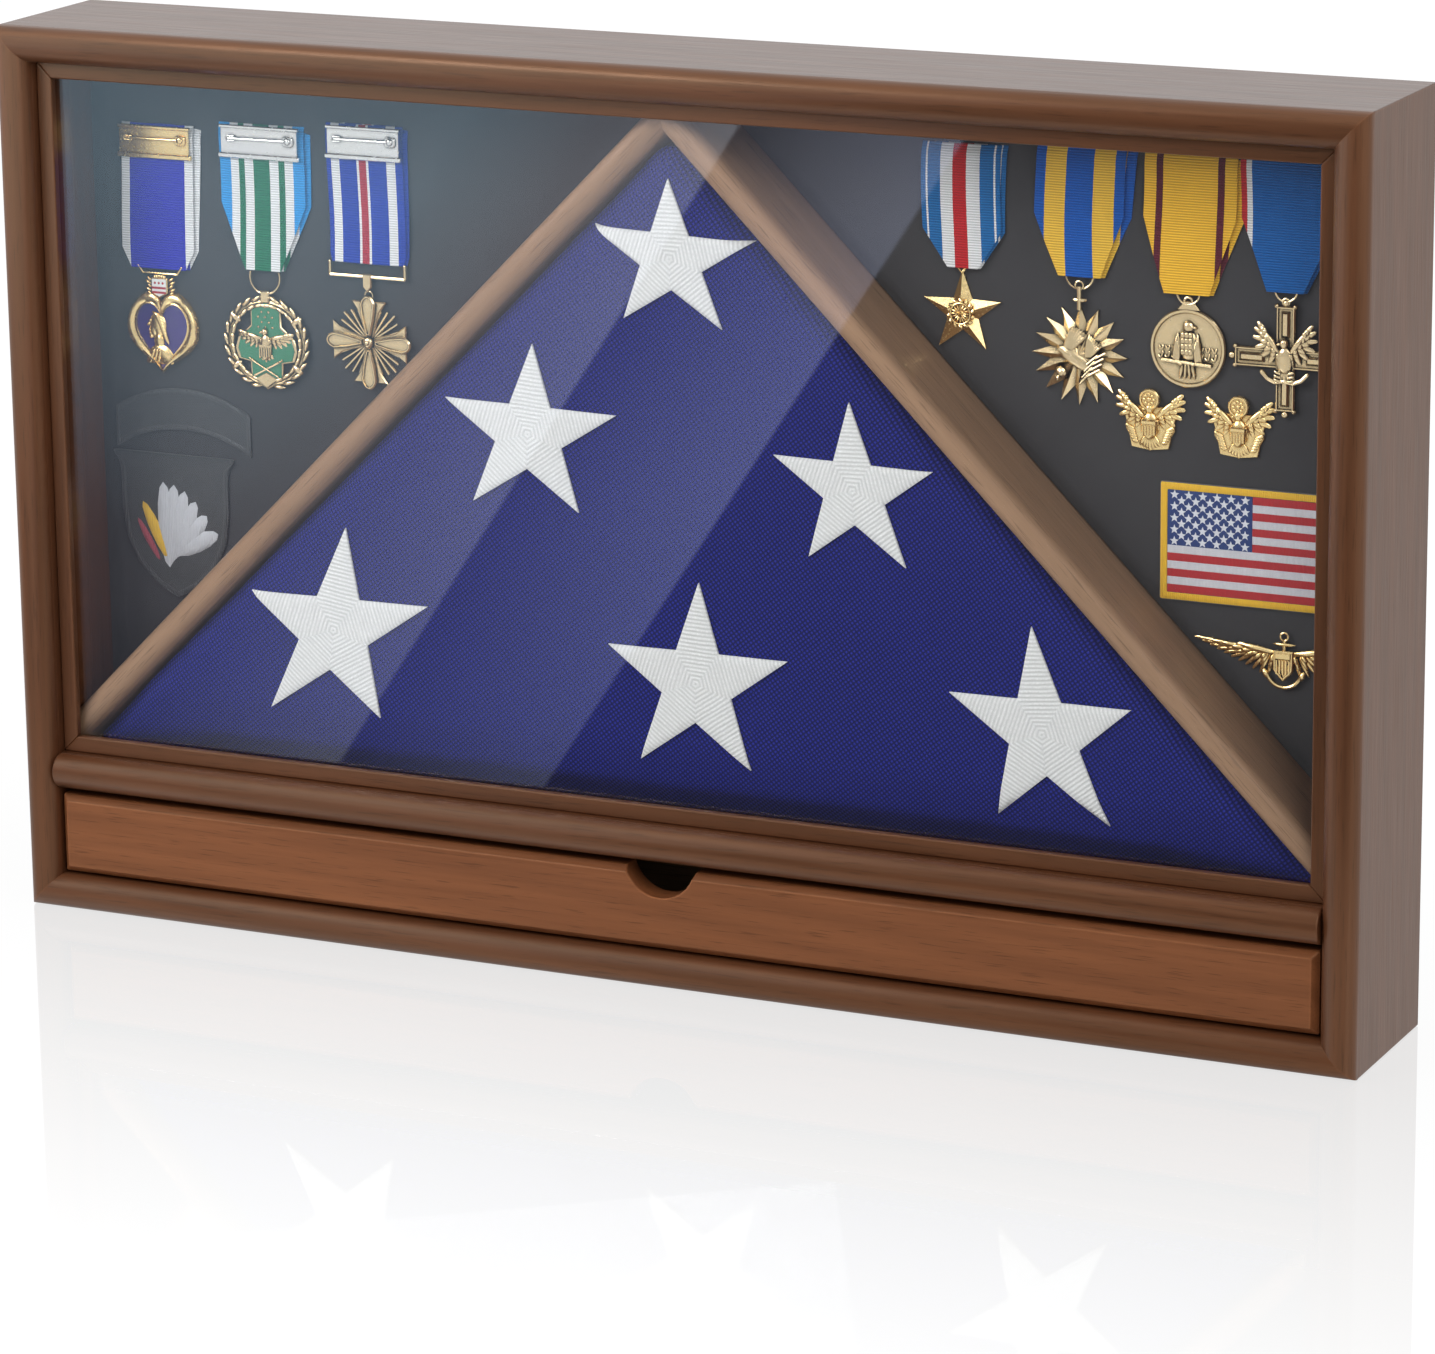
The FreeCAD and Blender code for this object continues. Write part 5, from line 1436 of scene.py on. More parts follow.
class CASE_OT_sunburst_pendant(bpy.types.Operator):
    """Make the sixteen-pointed compass rose with its diving bird"""

    bl_idname = "flag_case.sunburst_pendant"
    bl_label = "Make sunburst pendant"

    def execute(self, context):
        low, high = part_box("sunburst_pendant")
        bronze = bmesh.new()
        radius = (high.x - low.x) / 2
        ridged_star(bronze, 0, 0, 16, radius, radius * 0.64, 0.0, 0.0036, 0.0016, 0.0004)
        for i in range(7):
            t = i / 6
            leaf(
                bronze, (-0.0070 + 0.0020 * t, -0.0010 + 0.0020 * t),
                (-0.0030 + 0.0068 * t, 0.0122 - 0.0030 * t * t), 0.0026, 0.0012, 0.0026,
            )
            leaf(
                bronze, (0.0030 + 0.0010 * t, -0.0022 + 0.0010 * t),
                (0.0046 + 0.0056 * t, 0.0096 - 0.0046 * t), 0.0020, 0.0010, 0.0026,
            )
        leaf(bronze, (-0.0100, 0.0034), (0.0060, -0.0060), 0.0064, 0.0018, 0.0026, 12)
        dome(bronze, -0.0078, -0.0074, 0.0026, 0.0022, 0.0016, 0.0028, -0.6)
        leaf(bronze, (-0.0086, -0.0086), (-0.0098, -0.0118), 0.0016, 0.0010, 0.0028)
        for i in range(4):
            start = (0.0010 + 0.0010 * i, -0.0118 + 0.0028 * i)
            middle_way = (0.0052 + 0.0012 * i, -0.0070 + 0.0026 * i)
            end = (0.0098 + 0.0008 * i, -0.0052 + 0.0024 * i)
            wire(
                bronze, [start, middle_way, (middle_way[0] - 0.0010, middle_way[1] - 0.0014), end], 0.0010,
                0.0034,
            )
        foot = high.z - (low.z + radius)
        ring(bronze, 0, foot + 0.0010, 0.0062, 0.0010, 0.0018, math.radians(180), math.radians(180), 20)
        rod(bronze, (0, -0.0022, radius - 0.0020), (0, -0.0022, foot - 0.0040), 0.0022)
        leaf(bronze, (-0.0034, radius + 0.0022), (0.0034, radius + 0.0022), 0.0022, 0.0012, 0.0020)
        ring(bronze, 0, foot - 0.0036, 0.0018, 0.0010, 0.0022, steps=14)
        settled(bronze, (low.x + high.x) / 2, low.z + radius)
        piece(
            "sunburst_pendant_struck", [(bronze, bpy.data.materials["struck_bronze"])],
            ("sunburst_pendant",), smooth=18,
        )
        return {"FINISHED"}


class CASE_OT_disc_pendant(bpy.types.Operator):
    """Make the round bronze medal with its perched bird"""

    bl_idname = "flag_case.disc_pendant"
    bl_label = "Make disc pendant"

    def execute(self, context):
        low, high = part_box("disc_pendant")
        bronze = bmesh.new()
        radius = (high.x - low.x) / 2
        circle = arc_points(0, 0, radius, 0, 352.5, 47)
        face = slab(bronze, circle, 0.0, 0.0024, 0.0005)
        sunk(bronze, face, 0.0010, 0.0005, 0.0006)
        dome(bronze, 0.0004, 0.0010, 0.0046, 0.0068, 0.0016, 0.0020, 0.12, 14)
        dome(bronze, 0.0002, 0.0092, 0.0024, 0.0026, 0.0014, 0.0022)
        leaf(bronze, (0.0010, 0.0098), (0.0042, 0.0086), 0.0016, 0.0010, 0.0022)
        for side in (-1, 1):
            for i in range(5):
                t = i / 4
                leaf(
                    bronze, (side * (0.0042 - 0.0008 * t), 0.0066 - 0.0034 * t),
                    (side * (0.0062 - 0.0022 * t), -0.0060 - 0.0014 * t), 0.0020, 0.0010, 0.0026,
                )
        for row in range(4):
            for i in range(3):
                dome(
                    bronze, (i - 1) * 0.0017, 0.0058 - 0.0024 * row, 0.0010, 0.0014, 0.0007, 0.0033,
                    around=6,
                )
        for i in range(4):
            leaf(
                bronze, ((i - 1.5) * 0.0012, -0.0052), ((i - 1.5) * 0.0022, -0.0130), 0.0018, 0.0009, 0.0022
            )
        rod(bronze, (-0.0112, -0.0028, -0.0052), (0.0108, -0.0028, -0.0066), 0.0017)
        for i in range(9):
            t = i / 8
            x = -0.0118 + 0.0236 * t
            if abs(x) > 0.0056:
                for lean in (-1, 1):
                    leaf(
                        bronze, (x, -0.0050), (x + lean * 0.0012, -0.0024 + 0.0010 * lean), 0.0012, 0.0007,
                        0.0020, 6,
                    )
                    leaf(bronze, (x, -0.0016), (x + lean * 0.0013, 0.0010), 0.0012, 0.0006, 0.0019, 6)
        for side in (-1, 1):
            leaf(bronze, (side * 0.0040, -0.0056), (side * 0.0018, -0.0072), 0.0018, 0.0010, 0.0030)
        foot = high.z - (low.z + radius)
        slab(
            bronze,
            rounded(
                [
                    (-0.0056, radius - 0.0010), (0.0056, radius - 0.0010), (0.0018, radius + 0.0034),
                    (-0.0018, radius + 0.0034),
                ], 0.0010,
            ), 0.0004, 0.0022, 0.0005,
        )
        ring(bronze, 0, radius + 0.0030, 0.0018, 0.0012, 0.0016, steps=16)
        ring(bronze, 0, foot + 0.0008, 0.0050, 0.0010, 0.0018, math.radians(180), math.radians(180), 20)
        settled(bronze, (low.x + high.x) / 2, low.z + radius)
        piece(
            "disc_pendant_struck", [(bronze, bpy.data.materials["struck_bronze"])], ("disc_pendant",),
        )
        return {"FINISHED"}


class CASE_OT_cross_pendant(bpy.types.Operator):
    """Make the bronze cross with its eagle and scroll"""

    bl_idname = "flag_case.cross_pendant"
    bl_label = "Make cross pendant"

    def execute(self, context):
        low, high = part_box("cross_pendant")
        bronze = bmesh.new()
        centre = Vector(((low.x + high.x) / 2, 0, low.z + (high.x - low.x) / 2))
        reach = (high.x - low.x) / 2 - 0.0022
        for quarter in range(4):
            arm = [(-0.0042, 0.0020), (0.0042, 0.0020), (0.0042, reach), (-0.0042, reach)]
            face = slab(bronze, quarter_turned(arm, quarter), 0.0, 0.0026, 0.0005)
            sunk(bronze, face, 0.0006, 0.0004, 0.0008)
            panel = [
                (-0.0019, 0.0090), (0.0019, 0.0090), (0.0019, reach - 0.0022), (-0.0019, reach - 0.0022)
            ]
            slab(bronze, quarter_turned(panel, quarter), 0.0014, 0.0030, 0.0010)
            for across, out, big in (
                (0.0, reach + 0.0012, 0.0017), (-0.0040, reach - 0.0002, 0.0012),
                (0.0040, reach - 0.0002, 0.0012),
            ):
                x, z = quarter_turned([(across, out)], quarter)[0]
                dome(bronze, x, z, big, big, 0.0015, 0.0014, around=8)
        eagle(bronze, 0, 0.0006, 0.0250, math.radians(54), 0.0026, 0.0012)
        dome(bronze, 0, -0.0016, 0.0034, 0.0046, 0.0013, 0.0030)
        for side in (-1, 1):
            wire(
                bronze,
                [(0, -0.0092), (side * 0.0040, -0.0098), (side * 0.0072, -0.0086), (side * 0.0100, -0.0058)],
                0.0020, 0.0026,
            )
            for i in range(3):
                leaf(
                    bronze, (side * 0.0012, -0.0062 - 0.0016 * i), (side * 0.0046, -0.0050 - 0.0018 * i),
                    0.0014, 0.0008, 0.0034, 6,
                )
        top = high.z - centre.z
        ring(bronze, 0, top + 0.0010, 0.0048, 0.0010, 0.0018, math.radians(180), math.radians(180), 20)
        ring(bronze, 0, top - 0.0040, 0.0015, 0.0010, 0.0018, steps=14)
        settled(bronze, centre.x, centre.z)
        piece(
            "cross_pendant_struck", [(bronze, bpy.data.materials["struck_bronze"])], ("cross_pendant",),
        )
        return {"FINISHED"}


SPREAD_EAGLE = (
    (0.0, -0.96),
    (0.34, -0.92),
    (0.62, -0.88),
    (0.70, -0.50),
    (0.82, -0.30),
    (0.80, -0.05),
    (0.88, 0.20),
    (0.84, 0.52),
    (0.40, 0.44),
)


class CASE_OT_collar_pins(bpy.types.Operator):
    """Make the two gilt eagle pins"""

    bl_idname = "flag_case.collar_pins"
    bl_label = "Make collar pins"

    def execute(self, context):
        low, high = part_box("collar_pins")
        gold = bmesh.new()
        tall = high.z - low.z
        wide = tall * 0.93
        spots = (low.x + wide / 2, high.x - wide / 2)
        for spot in spots:
            shape = bmesh.new()
            half = tall / 2
            plate = [(x * half, z * half) for x, z in SPREAD_EAGLE]
            slab(shape, plate + [(-x, z) for x, z in plate[:0:-1]], 0.0, 0.0012, 0.0003)
            eagle(shape, 0, -0.0012, tall * 0.96, math.radians(44), 0.0009, 0.0014, 7)
            disc = arc_points(0, tall * 0.34, 0.0046, 0, 345, 23)
            face = slab(shape, disc, 0.0006, 0.0030, 0.0004)
            sunk(shape, face, 0.0006, 0.0002, 0.0005)
            for i in range(8):
                t = math.tau * i / 8
                dome(
                    shape, 0.0021 * math.cos(t), tall * 0.34 + 0.0021 * math.sin(t), 0.0007, 0.0007, 0.0004,
                    0.0026, around=6,
                )
            dome(shape, 0, tall * 0.34, 0.0010, 0.0010, 0.0005, 0.0026, around=8)
            shield = [
                (-0.0036, 0.0006), (0.0036, 0.0006), (0.0034, -0.0052), (0.0, -0.0082), (-0.0034, -0.0052)
            ]
            slab(shape, rounded(shield, 0.0007), 0.0010, 0.0032, 0.0005)
            slab(shape, rectangle(0, -0.0006, 0.0066, 0.0016), 0.0030, 0.0036, 0.0002)
            for i in range(5):
                slab(shape, rectangle((i - 2) * 0.0013, -0.0040, 0.0005, 0.0040), 0.0030, 0.0035)
            for side in (-1, 1):
                for i in range(6):
                    t = i / 5
                    leaf(
                        shape, (side * (0.0050 + 0.0016 * t), -0.0096 + 0.0050 * t),
                        (side * (0.0082 + 0.0030 * t), -0.0086 + 0.0064 * t), 0.0019, 0.0010, 0.0012, 6,
                    )
                dome(shape, side * wide * 0.46, tall * 0.30, 0.0010, 0.0010, 0.0010, 0.0012, around=6)
            taken_in(gold, settled(shape, spot, (low.z + high.z) / 2))
        piece("collar_pins_struck", [(gold, bpy.data.materials["struck_gold"])], ("collar_pins",))
        return {"FINISHED"}


class CASE_OT_wings_pin(bpy.types.Operator):
    """Make the gilt wings with anchor and shield"""

    bl_idname = "flag_case.wings_pin"
    bl_label = "Make wings pin"

    def execute(self, context):
        low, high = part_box("wings_pin")
        gold = bmesh.new()
        half = (high.x - low.x) / 2
        for side in (-1, 1):
            for count, share, out in ((11, 1.0, 0.0006), (8, 0.66, 0.0012), (6, 0.38, 0.0017)):
                for i in range(count):
                    t = i / (count - 1)
                    start = (side * (0.0045 + (half * 0.50) * t), 0.0034 + 0.0022 * t)
                    far = Vector((half * (0.10 + 0.48 * t), -0.0105 + 0.0122 * t)) * share
                    leaf(gold, start, (start[0] + side * far.x, start[1] + far.y), 0.0021, 0.0008, out)
            leaf(gold, (side * 0.0036, 0.0040), (side * half * 0.62, 0.0066), 0.0030, 0.0012, 0.0020)
        shield = [
            (-0.0046, 0.0052), (0.0046, 0.0052), (0.0044, -0.0036), (0.0, -0.0080), (-0.0044, -0.0036)
        ]
        face = slab(gold, rounded(shield, 0.0009), 0.0008, 0.0030, 0.0005)
        sunk(gold, face, 0.0005, 0.0002, 0.0004)
        slab(gold, rectangle(0, 0.0030, 0.0070, 0.0026), 0.0024, 0.0034, 0.0003)
        for i in range(5):
            slab(gold, rectangle((i - 2) * 0.0014, -0.0018, 0.0006, 0.0060), 0.0024, 0.0031)
        rod(gold, (0, -0.0012, 0.0040), (0, -0.0012, 0.0100), 0.0017)
        leaf(gold, (-0.0052, 0.0078), (0.0052, 0.0078), 0.0017, 0.0010, 0.0012)
        ring(gold, 0, 0.0112, 0.0017, 0.0010, 0.0014, steps=16)
        ring(gold, 0, -0.0030, 0.0078, 0.0017, 0.0014, math.radians(200), math.radians(140), 24)
        for side in (-1, 1):
            leaf(gold, (side * 0.0070, -0.0074), (side * 0.0092, -0.0034), 0.0028, 0.0010, 0.0014)
        settled(gold, (low.x + high.x) / 2, low.z + (high.z - low.z) * 0.52)
        piece("wings_pin_struck", [(gold, bpy.data.materials["struck_gold"])], ("wings_pin",))
        return {"FINISHED"}


class CASE_OT_patches(bpy.types.Operator):
    """Sew the tab, the shield patch and the flag patch"""

    bl_idname = "flag_case.patches"
    bl_label = "Sew patches"

    def execute(self, context):
        cloth = context.scene.case_cloth
        grey = tuple(cloth.patch_grey)
        pitch = cloth.stitch_pitch
        ground = embroidery("patch_ground", grey, pitch, (0, math.radians(35), 0))
        edging = embroidery("patch_edging", tuple(1.35 * c for c in grey), pitch * 1.3)
        self.tab(ground, edging)
        self.shield(ground, edging, pitch)
        self.flag(pitch)
        return {"FINISHED"}

    def bordered(self, outline, border, thick, near=None):
        """A patch with an (x, z) outline as two shapes: its ground and its raised border."""
        ground, edge = bmesh.new(), bmesh.new()
        slab(ground, outline, 0.0, thick * 0.72)
        near = near or self.drawn_in(outline, border)
        band(
            edge, outline, near,
            [
                (0.0, 0.0), (0.06, thick * 0.7), (0.3, thick), (0.7, thick), (0.94, thick * 0.85),
                (1.0, thick * 0.5),
            ],
        )
        return ground, edge

    def drawn_in(self, outline, border):
        """The outline that lies a border's width inside another, point for point."""
        inner_shape = bmesh.new()
        face = inner_shape.faces.new([inner_shape.verts.new((x, 0, z)) for x, z in outline])
        face.normal_update()
        bmesh.ops.inset_region(
            inner_shape, faces=[face], thickness=border, use_boundary=True, use_even_offset=True
        )
        inner = [(vert.co.x, vert.co.z) for vert in face.verts]
        inner_shape.free()
        return [min(inner, key=lambda p: (p[0] - x) ** 2 + (p[1] - z) ** 2) for x, z in outline]

    def tab(self, ground_cloth, edging):
        low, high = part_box("tab_patch")
        centre = (low + high) / 2
        half = (high.x - low.x) / 2
        rise = 0.010
        radius = (half * half + rise * rise) / (2 * rise)
        reach = math.degrees(math.asin(half / radius))
        top = high.z - centre.z - radius
        deep = high.z - low.z - rise
        upper = arc_points(0, top, radius, 90 + reach, 90 - reach, 20)
        outline = upper + [(x, z - deep) for x, z in upper[::-1]]
        ground, edge = self.bordered(outline, 0.0024, high.y - low.y)
        parts = all_settled([(ground, ground_cloth), (edge, edging)], centre.x, centre.z, high.y)
        made = piece("tab_patch_sewn", parts[:1], ("tab_patch",))
        piece("tab_patch_border", parts[1:], ())

    def shield(self, ground_cloth, edging, pitch):
        low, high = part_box("shield_patch")
        centre = (low + high) / 2
        wide, tall = (high.x - low.x) / 2, (high.z - low.z) / 2
        side = [
            (1.0, 0.98), (0.90, 0.86), (0.86, 0.70), (0.86, 0.20), (0.80, -0.20), (0.62, -0.56),
            (0.34, -0.82), (0.0, -1.0),
        ]
        outline = [(x * wide, z * tall) for x, z in side] + [(-x * wide, z * tall) for x, z in side[-2::-1]]
        ground, edge = self.bordered(rounded(outline, 0.0020, 3), 0.0026, high.y - low.y)
        white, yellow, red = bmesh.new(), bmesh.new(), bmesh.new()
        face = (high.y - low.y) * 0.72
        for i in range(6):
            t = i / 5
            leaf(
                white, (-0.004 + 0.003 * t, -0.020 + 0.007 * t),
                (-0.006 + 0.028 * t, 0.020 - 0.022 * t * t), 0.0085, 0.0010, face,
            )
        leaf(yellow, (-0.017, 0.010), (-0.003, -0.018), 0.0060, 0.0010, face)
        leaf(red, (-0.020, 0.002), (-0.009, -0.017), 0.0034, 0.0009, face)
        parts = [
            (ground, ground_cloth),
            (edge, edging),
            (white, embroidery("patch_white", (0.56, 0.57, 0.62), pitch)),
            (yellow, embroidery("patch_yellow", (0.78, 0.47, 0.030), pitch)),
            (red, embroidery("patch_red", (0.34, 0.045, 0.075), pitch)),
        ]
        all_settled(parts, centre.x, centre.z, high.y)
        made = piece("shield_patch_sewn", parts[:1], ("shield_patch",))
        piece("shield_patch_stitching", parts[1:], ())

    def flag(self, pitch):
        low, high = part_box("flag_patch")
        centre = (low + high) / 2
        wide, tall = high.x - low.x, high.z - low.z
        thick = high.y - low.y
        border = 0.0034
        field_wide, field_tall = wide - 2 * border, tall - 2 * border
        field = rounded(rectangle(0, 0, field_wide, field_tall), 0.0006, 3)
        ground, edge = self.bordered(rounded(rectangle(0, 0, wide, tall), 0.0008, 3), border, thick, field)
        red, white, blue, stars = bmesh.new(), bmesh.new(), bmesh.new(), bmesh.new()
        stripe = field_tall / 13
        canton_wide, canton_tall = field_wide * 0.46, stripe * 7
        left, top = -field_wide / 2, field_tall / 2
        for i in range(13):
            start = left + (canton_wide if i < 7 else 0.0)
            across = left + field_wide - start
            target = red if i % 2 == 0 else white
            slab(
                target, rectangle(start + across / 2, top - (i + 0.5) * stripe, across, stripe),
                thick * 0.6, thick * 0.86, 0.0002,
            )
        slab(
            blue, rectangle(left + canton_wide / 2, top - canton_tall / 2, canton_wide, canton_tall),
            thick * 0.6, thick * 0.88, 0.0002,
        )
        for row in range(9):
            count = 6 if row % 2 == 0 else 5
            for i in range(count):
                x = left + canton_wide * ((i + 0.5 + 0.5 * (row % 2)) / 6)
                z = top - canton_tall * (row + 0.75) / 9.5
                ridged_star(stars, x, z, 5, 0.0021, 0.0009, thick * 0.80, thick * 1.02, thick * 0.92)
        parts = [
            (ground, embroidery("flag_patch_back", (0.10, 0.10, 0.11), pitch)),
            (edge, embroidery("flag_patch_border", (0.86, 0.50, 0.020), pitch)),
            (red, embroidery("flag_patch_red", (0.480, 0.014, 0.022), pitch * 0.7)),
            (white, embroidery("flag_patch_white", (0.70, 0.70, 0.76), pitch * 0.7)),
            (blue, embroidery("flag_patch_blue", (0.010, 0.040, 0.190), pitch * 0.7)),
            (stars, embroidery("flag_patch_stars", (0.80, 0.82, 0.88), pitch * 0.6)),
        ]
        all_settled(parts, centre.x, centre.z, high.y)
        made = piece("flag_patch_sewn", parts[:1], ("flag_patch",))
        piece("flag_patch_stitching", parts[1:], ())


class CASE_OT_fittings(bpy.types.Operator):
    """Finish the hinges, screws and turn buttons in brass"""

    bl_idname = "flag_case.fittings"
    bl_label = "Finish fittings"

    def execute(self, context):
        tones = context.scene.case_metal
        brass = metal("worn_brass", tuple(tones.brass), (0.12, 0.07, 0.02), 0.30)
        names = (
            "case_hinge_leaves", "door_hinge_leaves", "hinge_pins", "case_hinge_screws", "door_hinge_screws"
        )
        dressed(names + ("turn_button_screws", "upper_turn_button", "lower_turn_button"), brass)
        metal("struck_gold", tuple(tones.gold), tuple(tones.gold_dark), 0.22)
        metal("struck_bronze", tuple(tones.bronze), tuple(tones.bronze_dark), 0.20, 0.0024)
        return {"FINISHED"}


class CASE_OT_stage(bpy.types.Operator):
    """Set up the floor, the light and the camera"""

    bl_idname = "flag_case.stage"
    bl_label = "Set stage"

    def execute(self, context):
        scene = context.scene
        stage = scene.case_stage
        scene.view_settings.view_transform = "Standard"
        self.camera(scene, stage)
        self.world(scene)
        self.floor(scene, stage)
        self.reflected_card(scene)
        for name, place, size, power in (
            ("key_light", (-0.80, -1.05, 1.05), 0.9, 19.0),
            ("fill_light", (1.7, -1.4, 1.5), 1.5, 24.0),
        ):
            light = bpy.data.lights.new(name, "AREA")
            light.size = size
            light.energy = power
            lamp = bpy.data.objects.new(name, light)
            lamp.location = place
            lamp.rotation_euler = (Vector((0, 0, 0.2)) - Vector(place)).to_track_quat("-Z", "Y").to_euler()
            scene.collection.objects.link(lamp)
        return {"FINISHED"}

    def camera(self, scene, stage):
        eye = bpy.data.cameras.new("camera")
        eye.sensor_width = 36.0
        eye.sensor_fit = "HORIZONTAL"
        eye.lens = stage.lens
        made = bpy.data.objects.new("camera", eye)
        tilt, roll, heading = stage.camera_turn
        level = Matrix.Rotation(heading, 4, "Z") @ Matrix.Rotation(tilt, 4, "X")
        turn = level @ Matrix.Rotation(roll, 4, "Z")
        made.matrix_world = Matrix.Translation(stage.camera_place) @ turn
        scene.collection.objects.link(made)
        scene.camera = made

    def seen(self, tree):
        """1 for rays from the camera, a mirror or through glass, which see the white background."""
        path = tree.nodes.new("ShaderNodeLightPath").outputs
        straight = sums(tree, "MAXIMUM", path["Is Camera Ray"], path["Is Glossy Ray"])
        return sums(tree, "MAXIMUM", straight, path["Is Transmission Ray"])

    def world(self, scene):
        scene.world = bpy.data.worlds.new("white_room")
        scene.world.use_nodes = True
        tree = scene.world.node_tree
        way = add(
            tree, "ShaderNodeSeparateXYZ", {0: tree.nodes.new("ShaderNodeTexCoord").outputs["Generated"]}
        ).outputs
        ahead = span(tree, way["Y"], -0.15, -0.60, 0.0, 1.0, True)
        level = span(tree, way["Z"], 0.70, 0.20, 0.0, 1.0, True)
        dim = sums(tree, "MULTIPLY", sums(tree, "MULTIPLY", ahead, level), 0.45)
        path = tree.nodes.new("ShaderNodeLightPath").outputs
        mirrored = sums(tree, "MULTIPLY", path["Is Glossy Ray"], dim)
        bright = sums(tree, "SUBTRACT", span(tree, self.seen(tree), 0.0, 1.0, 0.45, 1.0), mirrored)
        tree.links.new(bright, tree.nodes["Background"].inputs["Strength"])
        tree.nodes["Background"].inputs["Color"].default_value = (1, 1, 1, 1)

    def floor(self, scene, stage):
        shape = bmesh.new()
        bmesh.ops.create_grid(shape, x_segments=1, y_segments=1, size=4.0)
        bmesh.ops.translate(shape, verts=shape.verts[:], vec=(0, 0, -0.0003))
        mesh = bpy.data.meshes.new("floor")
        shape.to_mesh(mesh)
        shape.free()
        made = bpy.data.objects.new("floor", mesh)
        scene.collection.objects.link(made)
        material, tree, shader, place = finish("white_floor")
        set_up(
            tree, shader, {"Base Color": (0.82, 0.82, 0.82), "Roughness": 0.9, "Specular IOR Level": 0.0}
        )
        mirrored = tree.nodes.new("ShaderNodeLightPath").outputs["Is Glossy Ray"]
        glow = add(tree, "ShaderNodeEmission", {"Color": (1, 1, 1, 1)})
        tree.links.new(span(tree, mirrored, 0.0, 1.0, 1.08, 0.80), glow.inputs["Strength"])
        glow = glow.outputs[0]
        lit = sums(tree, "MULTIPLY", self.seen(tree), 0.94)
        ground = add(tree, "ShaderNodeMixShader", {0: lit, 1: shader.outputs[0], 2: glow}).outputs[0]
        gloss = add(tree, "ShaderNodeBsdfGlossy", {"Roughness": 0.004}).outputs[0]
        away = sums(tree, "ABSOLUTE", add(tree, "ShaderNodeSeparateXYZ", {0: place}).outputs["Y"], 0.0)
        share = span(tree, away, 0.04, 0.52, stage.floor_mirror, 0.0)
        both = add(tree, "ShaderNodeMixShader", {0: share, 1: ground, 2: gloss}).outputs[0]
        tree.links.new(both, tree.nodes["Material Output"].inputs["Surface"])
        mesh.materials.append(material)

    def reflected_card(self, scene):
        """A dim card with bright panels, seen only as it is mirrored in the front of the pane."""
        shape = bmesh.new()
        bmesh.ops.create_grid(shape, x_segments=1, y_segments=1, size=0.5)
        upright = Matrix.Rotation(-math.pi / 2, 4, "X") @ Matrix.Diagonal((1.4, 0.60, 1, 1))
        place = Matrix.Translation((-0.10, -0.25, 0.30)) @ upright
        bmesh.ops.transform(shape, matrix=place, verts=shape.verts[:])
        mesh = bpy.data.meshes.new("reflected_card")
        shape.to_mesh(mesh)
        shape.free()
        made = bpy.data.objects.new("reflected_card", mesh)
        scene.collection.objects.link(made)
        made.visible_camera = False
        made.visible_diffuse = False
        made.visible_shadow = False
        made.visible_volume_scatter = False
        material, tree, shader, spot = finish("card_glow")
        tree.nodes.remove(shader)
        axes = add(tree, "ShaderNodeSeparateXYZ", {0: spot}).outputs
        lean = 1.498
        slope = sums(tree, "SUBTRACT", sums(tree, "MULTIPLY", axes["X"], lean), axes["Z"])
        slope = sums(tree, "MULTIPLY", slope, 1 / math.hypot(lean, 1.0))
        rest = span(tree, axes["Z"], 0.0, 0.36, 0.10, 0.19)
        glow = add(tree, "ShaderNodeEmission", {"Color": (1.0, 1.0, 1.08, 1), "Strength": rest}).outputs[0]
        # Right edge, width of the fade, shares left and right of it, strengths between two heights, tint.
        for edge, fade, left, right, heights, tint in (
            (-0.2433, 0.11, 0.0, 1.0, (0.03, 0.28, 0.55, 0.95), (0.95, 1.02, 1.15)),
            (-0.1499, 0.09, 0.27, 1.0, (0.0, 0.16, 0.40, 0.82), (0.85, 0.95, 1.35)),
            (-0.3000, 0.06, 1.0, 0.0, (0.12, 0.30, 0.0, 1.0), (0.50, 0.85, 1.05)),
        ):
            lit = span(tree, slope, edge - 0.001, edge + 0.001, 1.0, 0.0)
            across = sums(tree, "MULTIPLY", lit, span(tree, slope, edge - fade, edge, left, right))
            strength = sums(tree, "MULTIPLY", across, span(tree, axes["Z"], *heights))
            panel = add(tree, "ShaderNodeEmission", {"Color": rgba(tint), "Strength": strength}).outputs[0]
            glow = add(tree, "ShaderNodeAddShader", {0: glow, 1: panel}).outputs[0]
        clear = tree.nodes.new("ShaderNodeBsdfTransparent").outputs[0]
        early = sums(tree, "LESS_THAN", tree.nodes.new("ShaderNodeLightPath").outputs["Ray Depth"], 3.5)
        front = sums(tree, "SUBTRACT", 1.0, tree.nodes.new("ShaderNodeNewGeometry").outputs["Backfacing"])
        shown = sums(tree, "MULTIPLY", early, front)
        both = add(tree, "ShaderNodeMixShader", {0: shown, 1: clear, 2: glow}).outputs[0]
        tree.links.new(both, tree.nodes["Material Output"].inputs["Surface"])
        mesh.materials.append(material)


OPERATORS = (
    CASE_OT_woodwork,
    CASE_OT_glass,
    CASE_OT_fittings,
    CASE_OT_felts,
    CASE_OT_flag,
    CASE_OT_flag_stars,
    CASE_OT_ribbons,
    CASE_OT_brooch_bars,
    CASE_OT_heart_pendant,
    CASE_OT_wreath_pendant,
    CASE_OT_propeller_pendant,
    CASE_OT_star_pendant,
    CASE_OT_sunburst_pendant,
    CASE_OT_disc_pendant,
    CASE_OT_cross_pendant,
    CASE_OT_collar_pins,
    CASE_OT_wings_pin,
    CASE_OT_patches,
    CASE_OT_stage,
)


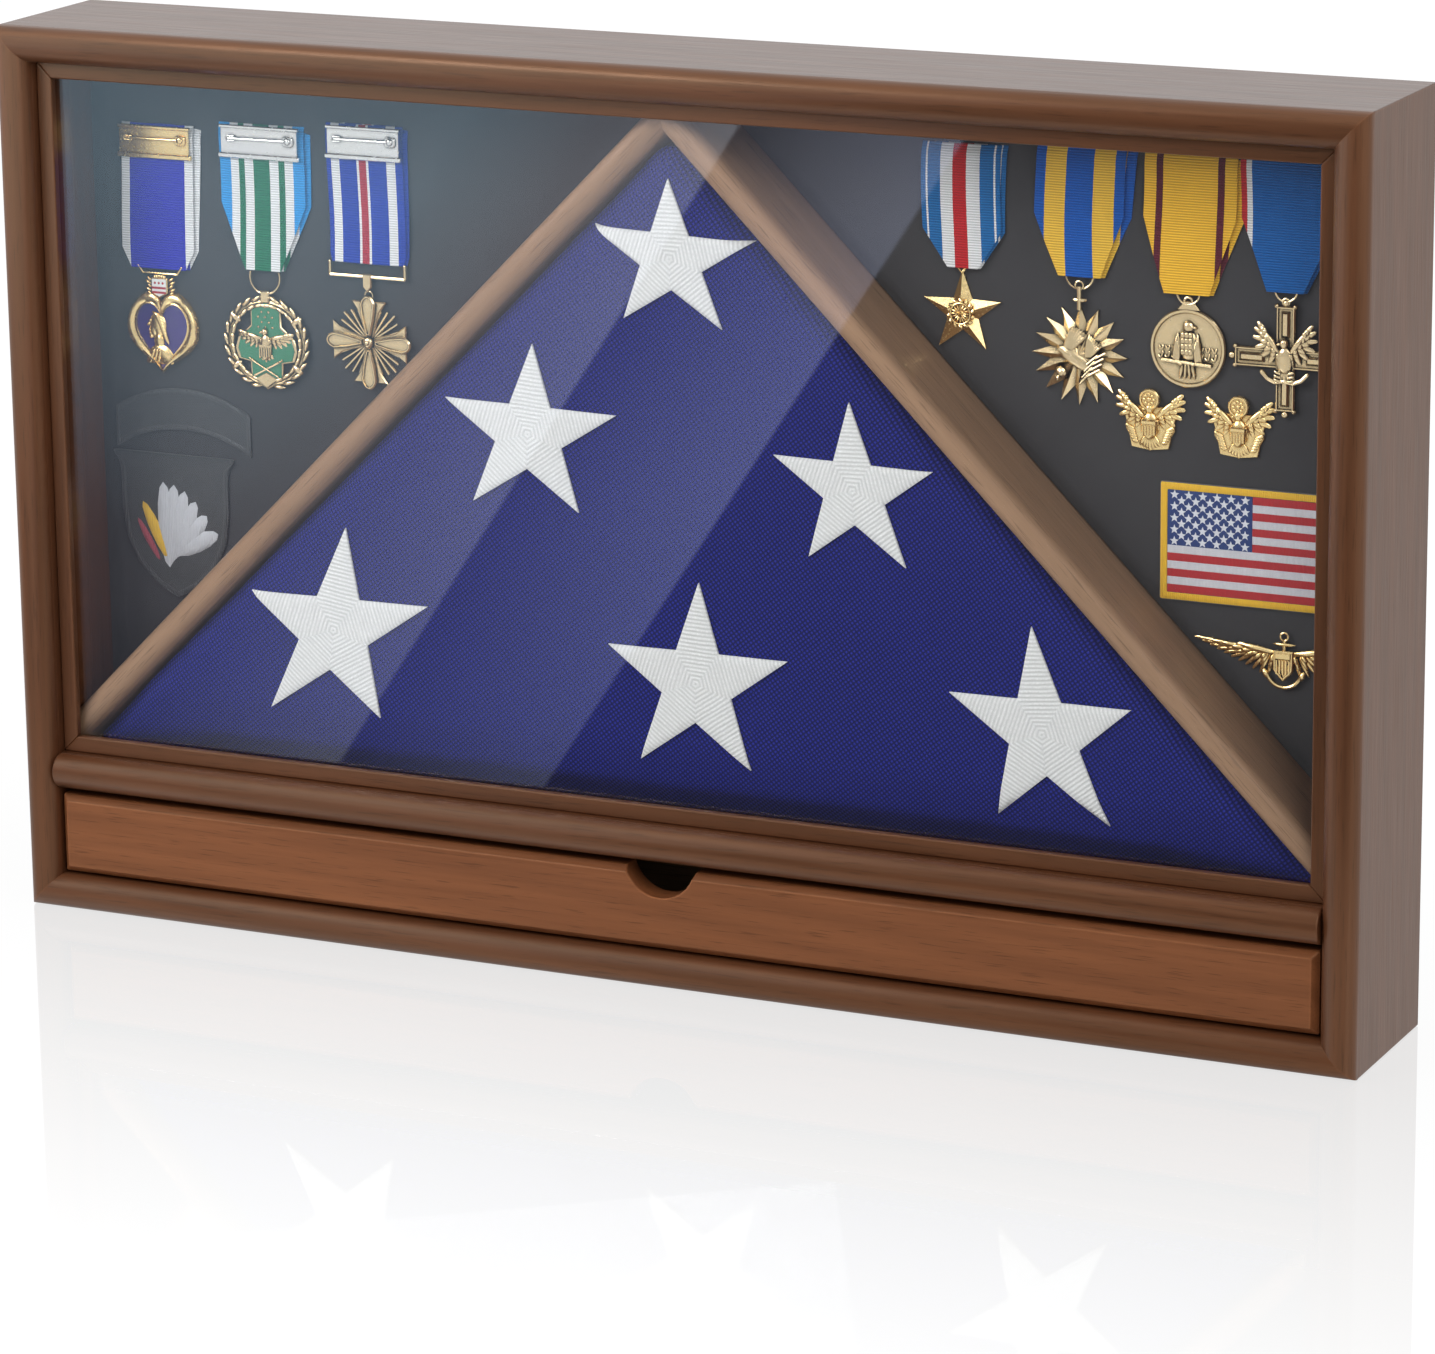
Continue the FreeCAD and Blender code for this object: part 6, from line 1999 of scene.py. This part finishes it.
class CASE_PT_sidebar(bpy.types.Panel):
    """Steps that dress the case, in order"""

    bl_label = "Flag case"
    bl_idname = "CASE_PT_sidebar"
    bl_space_type = "VIEW_3D"
    bl_region_type = "UI"
    bl_category = "Flag case"

    def draw(self, context):
        for operator in OPERATORS:
            self.layout.operator(operator.bl_idname)


GROUPS = {
    "case_wood": CASE_PG_wood,
    "case_cloth": CASE_PG_cloth,
    "case_metal": CASE_PG_metal,
    "case_stage": CASE_PG_stage,
}


def register():
    for kind in (*GROUPS.values(), *OPERATORS, CASE_PT_sidebar):
        bpy.utils.register_class(kind)
    for name, kind in GROUPS.items():
        setattr(bpy.types.Scene, name, PointerProperty(type=kind))


def unregister():
    for name in GROUPS:
        delattr(bpy.types.Scene, name)
    for kind in (CASE_PT_sidebar, *reversed(OPERATORS), *GROUPS.values()):
        bpy.utils.unregister_class(kind)


def main():
    register()
    for operator in OPERATORS:
        group, name = operator.bl_idname.split(".")
        getattr(getattr(bpy.ops, group), name)()


if __name__ == "__main__":
    main()
